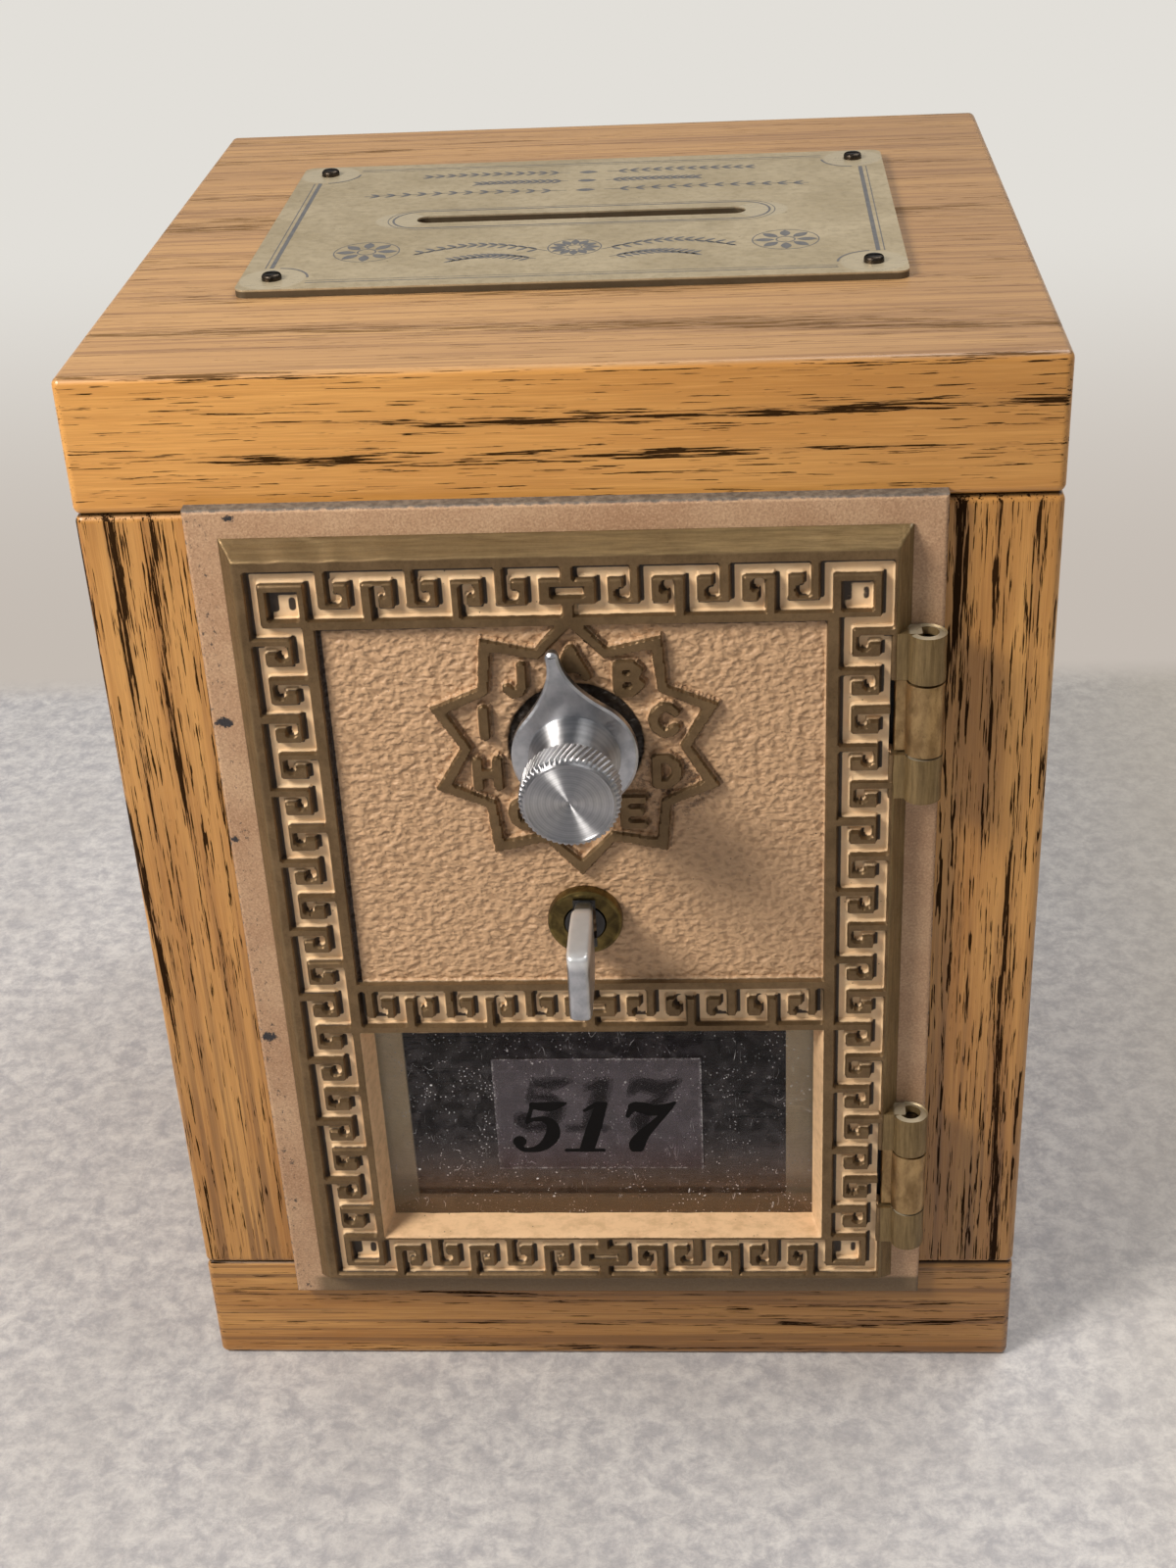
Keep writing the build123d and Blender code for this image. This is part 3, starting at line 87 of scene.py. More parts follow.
# ---------------------------------------------------------------- camera and light
cam_data = bpy.data.cameras.new("camera")
cam_data.sensor_fit = "AUTO"
cam_data.sensor_width = 36.0
cam_data.lens = 50.06
cam_data.clip_start = 0.005
cam_right = Vector((0.99769, 0.05008, -0.04596))
cam_forward = Vector((-0.06645, 0.86094, -0.50434)).normalized()
cam_up = cam_right.cross(cam_forward).normalized()
cam_right = cam_forward.cross(cam_up).normalized()
cam_turn = Matrix((cam_right, cam_up, -cam_forward)).transposed().to_4x4()
cam = add_object("camera", cam_data)
cam.matrix_world = Matrix.Translation(Vector((19.113, -285.637, 231.583)) * MM) @ cam_turn
bpy.context.scene.camera = cam
bpy.context.scene.view_settings.view_transform = "Standard"


def lamp(name, location, target, size, power, colour):
    """A rectangular lamp that shines from location to target."""
    data = bpy.data.lights.new(name, "AREA")
    data.shape = "RECTANGLE"
    data.size, data.size_y = size
    data.energy = power
    data.color = srgb(*colour)[:3]
    ob = add_object(name, data)
    ob.location = location
    ob.rotation_euler = (Vector(target) - Vector(location)).to_track_quat("-Z", "Y").to_euler()
    ob.visible_camera = False


lamp("key", (-0.30, -0.26, 0.40), (-0.01, -0.03, 0.10), (0.15, 0.15), 2.7, (255, 248, 238))
lamp("fill", (0.75, -0.65, 0.55), (0, 0, 0.08), (0.8, 0.6), 0.6, (255, 240, 220))
lamp("overhead", (0.28, 0.16, 0.75), (0.08, 0.02, 0.0), (0.5, 0.5), 3.6, (250, 248, 244))


# ---------------------------------------------------------------- materials
class Term:
    """A number that a node works out; in a sum it makes the node for that sum."""

    def __init__(self, shade, socket):
        self.shade, self.socket = shade, socket

    def __add__(self, other):
        return self.shade.math("ADD", self, other)

    def __sub__(self, other):
        return self.shade.math("SUBTRACT", self, other)

    def __rsub__(self, other):
        return self.shade.math("SUBTRACT", other, self)

    def __mul__(self, other):
        return self.shade.math("MULTIPLY", self, other)

    def __abs__(self):
        return self.shade.math("ABSOLUTE", self)


class Shade:
    """One material and short names for the nodes it is made of."""

    def __init__(self, name, **settings):
        self.mat = bpy.data.materials.new(name)
        self.mat.use_nodes = True
        self.tree = self.mat.node_tree
        self.bsdf = self.tree.nodes["Principled BSDF"]
        self.surface = self.tree.nodes["Material Output"].inputs["Surface"]
        self.use(**settings)
        self.mm = self.vector("SCALE", self.node("TexCoord").outputs["Object"], Scale=1 / MM)
        self.x, self.y, self.z = self.parts(self.mm)

    def node(self, kind, **settings):
        """A new node; settings are its own choices, not its sockets."""
        n = self.tree.nodes.new("ShaderNode" + kind)
        for key, value in settings.items():
            setattr(n, key, value)
        return n

    def put(self, socket, value):
        """Links a socket to a node's output, or sets it to a number, a vector or a screen colour."""
        if isinstance(value, Term):
            value = value.socket
        if isinstance(value, bpy.types.NodeSocket):
            self.tree.links.new(value, socket)
        else:
            socket.default_value = srgb(*value) if socket.type == "RGBA" else value

    def fill(self, node, *first, **named):
        """Puts values into a node's first sockets in order, and into others by name."""
        for socket, value in zip(node.inputs, first):
            self.put(socket, value)
        for key, value in named.items():
            self.put(node.inputs[key.replace("_", " ")], value)
        return node.outputs

    def use(self, **sockets):
        """The material, once its main shader's sockets have these values."""
        self.fill(self.bsdf, **sockets)
        return self.mat

    def vector(self, operation, *values, **named):
        return self.fill(self.node("VectorMath", operation=operation), *values, **named)[0]

    def parts(self, vector):
        return [Term(self, output) for output in self.fill(self.node("SeparateXYZ"), vector)]

    def math(self, operation, a, b=0.0, clamp=False):
        return Term(self, self.fill(self.node("Math", operation=operation, use_clamp=clamp), a, b)[0])

    def most(self, first, *others):
        """The highest of several values."""
        for other in others:
            first = self.math("MAXIMUM", first, other)
        return first

    def distance(self, place, stretch=(1, 1, 1)):
        """How far from place a point is, with each axis stretched."""
        offset = self.vector("MULTIPLY", self.vector("SUBTRACT", self.mm, place), stretch)
        return Term(self, self.fill(self.node("VectorMath", operation="LENGTH"), offset)["Value"])

    def facing_up(self):
        """The upward part of the surface's normal."""
        return self.parts(self.node("NewGeometry").outputs["Normal"])[2]

    def mark(self, name):
        """A number that the mesh carries at each point."""
        return Term(self, self.node("Attribute", attribute_name=name).outputs["Fac"])

    def step(self, value, low, high, to_low=0.0, to_high=1.0):
        """Goes smoothly from to_low to to_high as value goes from low to high."""
        n = self.node("MapRange", interpolation_type="SMOOTHSTEP")
        self.fill(n, Value=value, From_Min=low, From_Max=high, To_Min=to_low, To_Max=to_high)
        return Term(self, n.outputs["Result"])

    def noise(self, scale, detail=3.0, rough=0.5, stretch=(1, 1, 1), distort=0.0, shift=(0, 0, 0)):
        """Noise between 0 and 1; scale is in features a millimetre."""
        where = self.vector("MULTIPLY", self.mm, stretch)
        if any(shift):
            where = self.vector("ADD", where, shift)
        n = self.node("TexNoise")
        self.fill(n, Vector=where, Scale=scale, Detail=detail, Roughness=rough, Distortion=distort)
        return Term(self, n.outputs["Fac"])

    def spots(self, scale):
        """Distance to the nearest of a scatter of points."""
        return Term(self, self.fill(self.node("TexVoronoi"), Vector=self.mm, Scale=scale)["Distance"])

    def mix(self, factor, a, b):
        """Colour a turning into colour b as factor goes from 0 to 1."""
        n = self.node("Mix", data_type="RGBA")
        for socket, value in ((n.inputs["Factor"], factor), (n.inputs[6], a), (n.inputs[7], b)):
            self.put(socket, value)
        return n.outputs[2]

    def coats(self, tone, *layers):
        """A colour with layers of (cover, colour) over it, the last on top."""
        for cover, colour in layers:
            tone = self.mix(cover, tone, colour)
        return tone

    def bump(self, height, distance, strength=0.5, **below):
        """A normal roughened by height; below is the normal under it."""
        n = self.node("Bump")
        return self.fill(n, Height=height, Distance=distance * MM, Strength=strength, **below)["Normal"]

    def blend(self, factor, a, b):
        """Shader a turning into shader b as factor goes from 0 to 1."""
        return self.fill(self.node("MixShader"), factor, a, b)[0]


def oak(name, along, across, up, dark=0.0):
    """Open-pored oak. along, across and up say which axis is which for the grain; dark crowds its pores."""
    s = Shade(name, Coat_Roughness=0.25)

    def grain(scale, detail, rough, run, **more):
        """Noise drawn out along the grain, where it has run times the features that it has across."""
        stretch = [1.0, 1.0, 1.0]
        stretch[along] = run
        return s.noise(scale, detail, rough, stretch, **more)

    axes = (s.x, s.y, s.z)
    depth = axes[across] * 0.21 + axes[up] * 0.07
    ring = s.math("FRACT", depth + grain(0.03, 2.0, 0.5, 0.25) * 3.2)
    early = s.step(ring, 0.0, 0.12) * s.step(ring, 0.5, 0.22)
    figure = grain(0.22, 4.0, 0.55, 0.07)
    fibre = grain(5.0, 3.0, 0.65, 0.022)
    cluster = s.step(grain(0.32, 3.0, 0.6, 0.022, shift=(3, 8, 1)), 0.42, 0.62)
    crowd = cluster * (early * 0.75 + 0.25)
    wander = dict(distort=0.12, shift=(17, 3, 9))
    thin_at = 0.65 - 0.03 * dark - crowd * (0.18 + 0.02 * dark)
    thick_at = 0.72 - 0.01 * dark - crowd * (0.14 + 0.035 * dark)
    thin = s.step(grain(4.4, 3.0, 0.6, 0.03, **wander) - thin_at, 0.0, 0.022)
    thick = s.step(grain(2.5, 4.0, 0.66, 0.034, **wander) - thick_at, 0.0, 0.035)
    pores = s.most(thin, thick)
    streak = s.step(grain(1.1, 2.0, 0.5, 0.012, distort=0.1, shift=(2, 6, 11)), 0.5, 0.62)
    if dark:
        dash_at = s.step(s.x, -40.0, 40.0, 0.85, 0.74) - streak * 0.2
        pores = s.most(pores, s.step(grain(1.9, 2.0, 0.5, 0.085, **wander) - dash_at, 0.0, 0.04))
    # The lid's upward face is painted paler and greyer, a painted sheen that also softens its pores; ribbing
    # draws lines of grain on it
    lid_top_sheen = s.step(s.facing_up(), 0.4, 0.9) * s.step(s.z, LID - 4.0, LID - 1.0)
    # The top board, apart from its upward face, is made brighter
    bright_top_board = s.step(s.z, LID_FOOT - 1.0, LID_FOOT, 0.0, 0.3) * (1.0 - lid_top_sheen)
    ribbing = s.step(grain(1.5, 2.0, 0.6, 0.012, shift=(1, 4, 7)), 0.46, 0.66, 0.0, 0.5)
    # Painted shade on the top board, growing towards the right
    lid_shade_right = s.step(s.x, 0.0, 57.0, 0.0, 0.14) * s.step(s.z, LID_FOOT - 1.0, LID_FOOT)
    shaded = s.step(s.z, 80.0, 6.0, 0.0, 0.46) * s.step(s.x, -56.0, 20.0, 0.25, 1.0)
    # Painted shade in the joints under the lid and over the bottom board
    seam_shade = s.math("MINIMUM", abs(s.z - LID_FOOT), abs(s.z - SOLE_TOP))
    colour = s.coats(
        s.mix(s.step(figure, 0.3, 0.7), (176, 120, 54), (206, 152, 82)),
        (s.step(fibre, 0.4, 0.72, 0.0, 0.55 - 0.2 * dark), (142, 92, 40)),
        (s.step(fibre, 0.46, 0.28, 0.0, 0.35 - 0.15 * dark), (228, 178, 108)),
        (crowd * (0.35 + 0.2 * dark), (116, 72, 30)),
        (bright_top_board, (238, 170, 84)),
        (lid_top_sheen * 0.62, (178, 143, 103)),
        (lid_top_sheen * ribbing, (120, 84, 58)),
        (lid_shade_right, (100, 70, 44)),
        (s.step(s.z, 110.0, 20.0, 0.0, 0.6) * streak, (100, 64, 32)),
        (shaded, (108, 72, 36)),
        (pores * (0.95 - lid_top_sheen * 0.35), (26, 15, 8)),
        (s.step(seam_shade, 0.42, 0.12, 0.0, 0.85), (22, 14, 8)),
    )
    s.use(Coat_Weight=0.35 - pores * 0.35, Specular_IOR_Level=0.5 - pores * 0.48)
    rough = s.step(figure, 0.3, 0.75, 0.36, 0.48)
    return s.use(Base_Color=colour, Roughness=rough, Normal=s.bump(fibre * 0.2 - pores, 0.1))


def metal(name, colour, dark, rough=(0.25, 0.4), scale=0.35, stretch=(1, 1, 1)):
    """A plain metal with stains, fine scratches and an uneven sheen."""
    s = Shade(name, Metallic=1.0)
    stain = s.noise(scale, 5.0, 0.6, distort=0.3)
    brush = s.noise(2.2, 4.0, 0.7, stretch)
    tone = s.mix(s.step(stain, 0.35, 0.75), colour, dark)
    tone = s.mix(s.step(brush, 0.35, 0.75, 0.0, 0.3), tone, dark)
    return s.use(Base_Color=tone, Roughness=s.step(brush, 0.3, 0.7, *rough), Normal=s.bump(brush, 0.01))


def turned_metal(name, centre):
    """Bright aluminium with the rings that a lathe leaves round centre, an (x, z) place."""
    s = Shade(name, Metallic=1.0, Anisotropic=1.0, Anisotropic_Rotation=0.25)
    cloud = s.noise(0.5, 4.0, 0.6)
    dx = s.x - centre[0]
    dz = s.z - centre[1]
    radius = s.math("SQRT", dx * dx + dz * dz)
    rings = s.math("SINE", radius * 21.0) + s.math("SINE", radius * 7.3)
    tone = s.mix(s.step(cloud, 0.3, 0.7), (178, 178, 182), (196, 196, 198))
    tone = s.mix(s.step(rings, -1.2, 1.6, 0.0, 0.35), tone, (128, 130, 136))
    tangent = s.node("Tangent", direction_type="RADIAL", axis="Y").outputs[0]
    return s.use(Base_Color=tone, Roughness=s.step(cloud, 0.3, 0.7, 0.42, 0.5), Tangent=tangent)


def handled_metal(name):
    """Bright aluminium with nicks, painted shade where it meets the rose, and a painted highlight on top of
    the thumb turn.
    """
    s = Shade(name)
    ahead = FRONT - s.y
    nick = s.step(s.noise(1.3, 5.0, 0.75, (1, 0.4, 1), shift=(2, 0, 4)), 0.66, 0.74)
    # The thumb turn's upper face gets a painted highlight: pale and less metallic
    top = s.step(ahead, 7.4, 8.0) * s.step(s.z, THUMB[1] + 2.5, THUMB[1] + 4.0) * s.step(s.z, 90.0, 88.0)
    tone = s.coats(
        s.mix(s.step(s.noise(0.5, 4.0, 0.6), 0.35, 0.7), (190, 191, 195), (164, 166, 172)),
        (nick * 0.6, (70, 66, 62)),
        # painted shade where the blade meets the rose
        (s.step(ahead, 5.75, 5.6, 0.0, 0.9), (38, 33, 26)),
        (top * 0.7, (236, 236, 236)),
    )
    brush = s.noise(2.4, 3.0, 0.6, (0.3, 1, 1))
    s.use(Base_Color=tone, Roughness=s.step(brush, 0.3, 0.7, 0.3, 0.44))
    return s.use(Metallic=1.0 - top * 0.35, Normal=s.bump(brush, 0.012))


def cast_brass():
    """Old cast brass: bare and olive on what stands proud, tan paint in the recesses with grime and painted
    shade.
    """
    s = Shade("cast_brass")
    far_x = s.step(abs(s.x), 38.0, 38.25)
    rim = s.most(far_x, s.step(abs(s.z - DOOR_MIDDLE), 54.7, 54.95))
    wander = (s.noise(1.3, 4.0, 0.6) - 0.5) * 0.3
    bare = s.most(s.step(s.mark("proud") + wander, 0.44, 0.6), rim, s.step(FRONT - s.y, 0.9, 0.7))
    patina = s.noise(0.16, 5.0, 0.65, distort=0.5)
    fine = s.noise(2.4, 4.0, 0.7)
    level_brush = s.noise(2.6, 4.0, 0.7, (0.06, 1, 1))
    upright_brush = s.noise(2.6, 4.0, 0.7, (1, 1, 0.06))
    brush = far_x * upright_brush + (1.0 - far_x) * level_brush
    brushed = s.mix(s.step(brush, 0.3, 0.7), (108, 90, 58), (152, 129, 88))
    knuckle_top = s.step(s.facing_up(), 0.55, 0.85) * s.step(s.x, 39.4, 39.8)
    brass = s.coats(
        s.mix(s.step(patina, 0.3, 0.72), (126, 102, 72), (100, 79, 53)),
        (s.step(fine, 0.4, 0.8, 0.0, 0.4), (72, 58, 40)),
        (rim * s.step(s.x, -39.0, 38.6, 0.35, 0.7), brushed),
        (knuckle_top * 0.7, (206, 196, 172)),
    )

    # Paint: tan in the dial's panel, cream elsewhere, and dirty round the window
    in_panel = s.step(abs(s.x - 0.4), 29.9, 29.6) * s.step(s.z, 69.6, 69.9) * s.step(s.z, 120.4, 120.1)
    sill = s.step(abs(s.x - 0.2), 31.7, 31.3) * s.step(s.z, 63.3, 62.9) * s.step(s.z, 25.0, 25.4)
    dirty = s.step(s.noise(0.7, 5.0, 0.7, (0.6, 1, 1), shift=(5, 5, 0)), 0.4, 0.7)
    tan = s.mix(s.noise(0.12, 3.0, 0.5), (186, 149, 113), (198, 161, 124))
    cream = s.mix(s.noise(0.5, 4.0, 0.6), (222, 184, 142), (244, 214, 172))
    cream = s.mix(sill, cream, s.mix(dirty * 0.55, (224, 187, 145), (178, 142, 104)))

    # Over the paint: dents, grime and painted shade in the grooves, painted shade in the dial's recess, pits
    # and soot beside it
    lump = s.noise(1.05, 1.5, 0.45, (0.88, 1, 1.2), shift=(0, 5, 0))
    # Grime and painted shade from the face's mark, broken up by noise, laid on in dark brown
    ragged = s.mark("grime_and_shade") * s.step(s.noise(0.9, 4.0, 0.6, shift=(9, 2, 5)), 0.2, 0.5, 0.7, 1.0)
    from_dial = s.distance((DIAL[0], 0, DIAL[1]), (1, 0, 1))
    # Painted shade: the dial's recess is near black round the pointer
    sunk = s.step(from_dial + wander * 1.2, 8.3, 8.05)
    pits = s.step(s.spots(0.9), 0.12, 0.05) * s.step(s.noise(0.16, 2.0, 0.5, shift=(4, 0, 1)), 0.52, 0.62)
    soot = s.step(s.distance((DIAL[0] + 11.5, FRONT - 4, DIAL[1] - 5.5)), 7.5, 2.0)
    soot = soot * s.step(s.noise(1.1, 5.0, 0.7, shift=(1, 8, 3)), 0.5, 0.62)
    colour = s.coats(
        s.mix(in_panel, cream, tan),
        (in_panel * s.step(lump, 0.48, 0.3, 0.0, 0.5), (124, 92, 62)),
        (s.step(ragged, 0.25, 0.6, 0.0, 0.97), (34, 21, 14)),
        (sunk * 0.96, (20, 14, 10)),
        (s.most(pits * 0.8, soot * 0.8), (58, 40, 28)),
        (bare, brass),
    )
    rough = bare * -0.08 + s.step(fine, 0.3, 0.7, 0.5, 0.6)
    hammered = s.bump(s.step(lump, 0.3, 0.68) * in_panel * (1.0 - bare), 0.26, 0.85)
    relief = s.bump(fine * 0.6 + s.noise(5.0, 2.0, 0.5), 0.02, Normal=hammered)
    return s.use(Base_Color=colour, Roughness=rough, Metallic=bare * 0.65, Normal=relief)


def painted_frame():
    """Pinkish tan paint on cast metal, chipped at its edges, and bare at the sides, the top and the foot;
    painted shade under the door's bevel and behind the door.
    """
    s = Shade("painted_frame")
    ragged = s.noise(1.1, 5.0, 0.65)
    shift = (ragged - 0.5) * 2.2
    torn = s.noise(1.6, 6.0, 0.8, shift=(6, 1, 2))
    bare = s.most(
        s.step(abs(s.x - 0.05) + shift, 43.75, 44.1),
        s.step(s.z + shift * 0.25, 134.05, 134.3),
        s.step(14.3 - s.z, 0.0, 0.2),
        s.step(FRONT - s.y, 0.3, 0.0),
    )
    chips = 0.0
    for x, z, size in ((-42.4, 106.7, 1.2), (-42.6, 59.3, 1.2), (-38.5, 133.4, 0.7), (-43.2, 90.0, 0.6)):
        gap = s.distance((x, FRONT - 2, z), (1.0, 0.2, 1.6)) + (torn - 0.5) * 3.4
        chips = s.most(chips, s.step(gap, size, size * 0.75))
    peeled = s.step(s.noise(1.5, 6.0, 0.8, (1, 1, 0.6), shift=(3, 3, 3)), 0.575, 0.62)
    chips = s.most(chips, peeled * s.step(s.x, -40.6, -42.0) * 0.8)
    stipple = s.noise(3.6, 3.0, 0.6)
    # Painted shade on the flange under the door's lower bevel
    under_bevel_shade = s.step(s.z, 17.4, 16.6) * s.step(s.x, -42.0, -39.5)
    # Painted shade: the flange behind the door and in the gaps beside it is near black
    behind_door_shade = s.step(abs(s.x), 38.9, 38.5) * s.step(abs(s.z - DOOR_MIDDLE), 56.3, 55.9)
    metal_tone = s.mix(s.step(ragged, 0.35, 0.65), (134, 127, 118), (98, 92, 86))
    colour = s.coats(
        s.mix(s.step(s.noise(0.1, 4.0, 0.6), 0.3, 0.7), (172, 134, 102), (190, 155, 122)),
        (s.step(stipple, 0.5, 0.36, 0.0, 0.35), (128, 94, 68)),
        (s.step(stipple, 0.52, 0.66, 0.0, 0.35), (214, 182, 148)),
        (under_bevel_shade * 0.85, (100, 82, 56)),
        (behind_door_shade, (14, 11, 9)),
        (bare, metal_tone),
        (chips, (44, 41, 44)),
    )
    grain = s.noise(2.0, 5.0, 0.65)
    s.use(Base_Color=colour, Roughness=s.step(grain, 0.3, 0.7, 0.5, 0.62))
    return s.use(Metallic=bare * 0.25, Normal=s.bump(grain + stipple - bare * 0.8, 0.09, 0.6))


def worn_brass(name, pale, dark, stretch=(1, 1, 1), rough=(0.28, 0.45)):
    """Handled brass: olive with brighter rubbed patches and darker spots."""
    s = Shade(name, Metallic=0.95)
    patch = s.noise(0.45, 5.0, 0.6, stretch, distort=0.4)
    fine = s.noise(3.0, 4.0, 0.7, stretch)
    tone = s.mix(s.step(patch, 0.35, 0.68), dark, pale)
    tone = s.mix(s.step(fine, 0.55, 0.8, 0.0, 0.6), tone, (70, 58, 40))
    return s.use(Base_Color=tone, Roughness=s.step(fine, 0.3, 0.7, *rough), Normal=s.bump(fine, 0.02))


def plate_material():
    """Dull rolled brass, polished in patches round the screws and the ends of the coin slot."""
    s = Shade("rolled_plate", Metallic=0.55)
    brush = s.noise(2.0, 4.0, 0.65, (0.25, 1, 1))
    mottle = s.noise(0.9, 5.0, 0.7)
    patches = [(u * PLATE_SCREW[0], v * PLATE_SCREW[1], PLATE_CURL) for u in (-1, 1) for v in (-1, 1)]
    patches += [(u * SLOT_END, 0.0, SLOT_END_RADIUS) for u in (-1, 1)]
    polished = 0.0
    for x, y, radius in patches:
        far = s.distance((x, PLATE_MIDDLE[1] + y, PLATE_TOP))
        polished = s.most(polished, s.step(far, radius, radius * 0.86))
    spots = s.step(s.spots(0.5), 0.09, 0.03) * s.step(s.noise(0.2, 2.0), 0.5, 0.6)
    tone = s.coats(
        s.mix(s.step(s.noise(0.08, 4.0, 0.6, distort=0.5), 0.3, 0.7), (196, 180, 150), (178, 162, 132)),
        (s.step(mottle, 0.4, 0.75, 0.0, 0.45), (146, 130, 100)),
        (spots * 0.6, (70, 60, 44)),
        (polished * 0.6, (226, 210, 178)),
        (s.step(PLATE_TOP - s.z, 0.1, 0.3) * 0.85, (56, 42, 26)),
    )
    rough = s.step(brush, 0.3, 0.7, 0.42, 0.54) - polished * 0.16
    return s.use(Base_Color=tone, Roughness=rough, Normal=s.bump(mottle, 0.012))


def retainer_material():
    """Sheet brass gone dull under old tan paint, with painted shade towards its outer edges, darker towards
    its foot, and a faint glow of painted light.
    """
    s = Shade("old_sheet", Metallic=0.1, Roughness=0.6)
    cloud = s.noise(0.25, 5.0, 0.6, (1, 1, 0.35))
    tone = s.coats(
        s.mix(s.step(cloud, 0.3, 0.7), (232, 206, 168), (252, 232, 198)),
        # painted shade towards the outer edges, beside the window's walls
        (s.step(abs(s.x - 0.2), 28.2, 29.6) * 0.6, (90, 74, 56)),
        (s.step(s.z, 33.5, 31.0) * 0.85, (40, 33, 28)),
    )
    # A faint glow: painted light, for the sheet lies in the shade of the window's walls
    s.use(Emission_Color=(206, 178, 140), Emission_Strength=0.14)
    return s.use(Base_Color=tone, Normal=s.bump(cloud, 0.03))


def engraving_material():
    """The dark of a worn engraved line."""
    s = Shade("engraving_ink", Metallic=0.3)
    tone = s.mix(s.noise(0.8, 4.0, 0.6), (84, 86, 94), (126, 122, 116))
    return s.use(Base_Color=tone, Roughness=s.step(s.noise(2.0), 0.3, 0.7, 0.4, 0.55))


def clear_sheet(name, tint, haze, dust, shine, frayed=False):
    """A thin clear sheet: what is behind shows through it, with a reflection, haze, dust and fine scratches.
    A frayed one is the decal's film, white at its edges; the other is the window, with dust at its foot."""
    s = Shade(name)
    speck = s.step(s.spots(1.7), 0.2, 0.09) * s.step(s.noise(0.3, 3.0, 0.6), 0.42, 0.6)
    large = s.step(s.spots(0.45), 0.11, 0.05) * s.step(s.noise(0.9, 3.0, 0.6), 0.5, 0.6)
    fluff = s.step(s.noise(0.6, 4.0, 0.6), 0.4, 0.75, 0.0, 0.06 if frayed else 0.09)
    scratch = s.step(abs(s.noise(0.5, 2.0, 0.5, (1, 1, 0.25), distort=0.6) - 0.5), 0.004, 0.001)
    scratch = scratch * s.step(s.noise(0.35, 2.0, 0.5, shift=(8, 1, 6)), 0.56, 0.66)
    low = s.step(s.z + fluff * 20.0, 44.0, 30.0)
    bright = s.most(speck, large, scratch)
    if frayed:
        out_x = abs(s.x - DECAL[0]) - (DECAL_HALF[0] - DECAL_FRAY)
        out_z = abs(s.z - DECAL[1]) - (DECAL_HALF[1] - DECAL_FRAY)
        edge = s.step(s.most(out_x, out_z), 0.0, 0.4)
        bright = s.most(bright, edge * s.step(s.noise(1.2, 5.0, 0.8), 0.42, 0.62, 0.0, 0.7))
        cloudy = fluff + haze
    else:
        cloudy = fluff + (low * s.step(abs(s.z - 31.9), 0.25, 0.9, 0.35, 1.0) * 0.24 + haze)
    cover = s.math("ADD", bright * dust, cloudy, clamp=True)
    film_tone = s.mix(low, (176, 168, 172), (150, 112, 80))
    film = s.fill(s.node("BsdfDiffuse"), s.mix(bright, film_tone, (226, 222, 220)))[0]
    see = s.fill(s.node("BsdfTransparent"), tint)[0]
    gloss = s.fill(s.node("BsdfGlossy"), Roughness=0.06)[0]
    reflection = s.fill(s.node("Fresnel"), IOR=shine)[0]
    s.put(s.surface, s.blend(reflection, s.blend(cover, see, film), gloss))
    s.tree.nodes.remove(s.bsdf)
    return s.mat


def figure_ink(name, cover):
    """The decal's black; below a cover of 1 it's the blurred copy seen in the glass, a painted reflection."""
    s = Shade(name, Roughness=0.7, Specular_IOR_Level=0.1, Alpha=cover)
    return s.use(Base_Color=s.mix(s.noise(1.0, 4.0, 0.6), (8, 7, 8), (20, 18, 18)))


oak_level = oak("oak_level", 0, 2, 1)
oak_upright = oak("oak_upright", 2, 0, 1, 1.0)
oak_back = oak("oak_back", 2, 0, 1, 0.5)
dowel_wood = oak("dowel_wood", 2, 0, 1)
steel = metal("steel_turned", (168, 163, 155), (120, 112, 100), (0.28, 0.42))
spring_wire = metal("spring_wire", (175, 175, 172), (130, 128, 122), (0.2, 0.35))
dark_screw = metal("dark_screw", (74, 66, 58), (34, 29, 25), (0.28, 0.5), 1.2)
lock_brass = metal("lock_brass", (188, 156, 92), (130, 100, 52), (0.26, 0.42), 0.2, (0.1, 1, 1))
sheet_brass = metal("sheet_brass", (186, 158, 100), (134, 108, 62), (0.24, 0.4), 0.15, (0.05, 1, 1))
turned_aluminium = turned_metal("turned_aluminium", DIAL)
plain_aluminium = handled_metal("plain_aluminium")
casting_metal = cast_brass()
frame_paint = painted_frame()
knuckle_brass = worn_brass("knuckle_brass", (182, 152, 108), (134, 108, 74), (1, 1, 0.5), (0.34, 0.5))
rose_brass = worn_brass("rose_brass", (124, 106, 62), (76, 64, 38))
plate_brass = plate_material()
old_sheet = retainer_material()
ink = engraving_material()
window_sheet = clear_sheet("window_sheet", (222, 222, 222), 0.015, 0.85, 1.22)
decal_sheet = clear_sheet("decal_sheet", (226, 214, 228), 0.14, 0.3, 1.1, True)
black_figures = figure_ink("black_figures", 1.0)
ghost_figures = figure_ink("ghost_figures", 0.2)

# ---------------------------------------------------------------- mesh helpers
def make(name, verts, faces, body, mat, slot, stands_for=(), sharp=35.0):
    """A mesh piece from millimetre points; it rides on body and replaces the CAD nodes in stands_for."""
    mesh = bpy.data.meshes.new(name)
    points = np.asarray(verts, float) * MM
    mesh.from_pydata(points.tolist(), [], [[int(i) for i in face] for face in faces])
    mesh.validate()
    mesh.shade_smooth()
    mesh.set_sharp_from_angle(angle=math.radians(sharp))
    mesh.materials.append(mat)
    ob = add_object(name, mesh)
    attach(ob, body)
    if stands_for:
        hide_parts(*stands_for)
    return ob


def polar(x, y, radius, angle):
    """The place at this radius and angle from (x, y)."""
    return x + radius * np.cos(angle), y + radius * np.sin(angle)


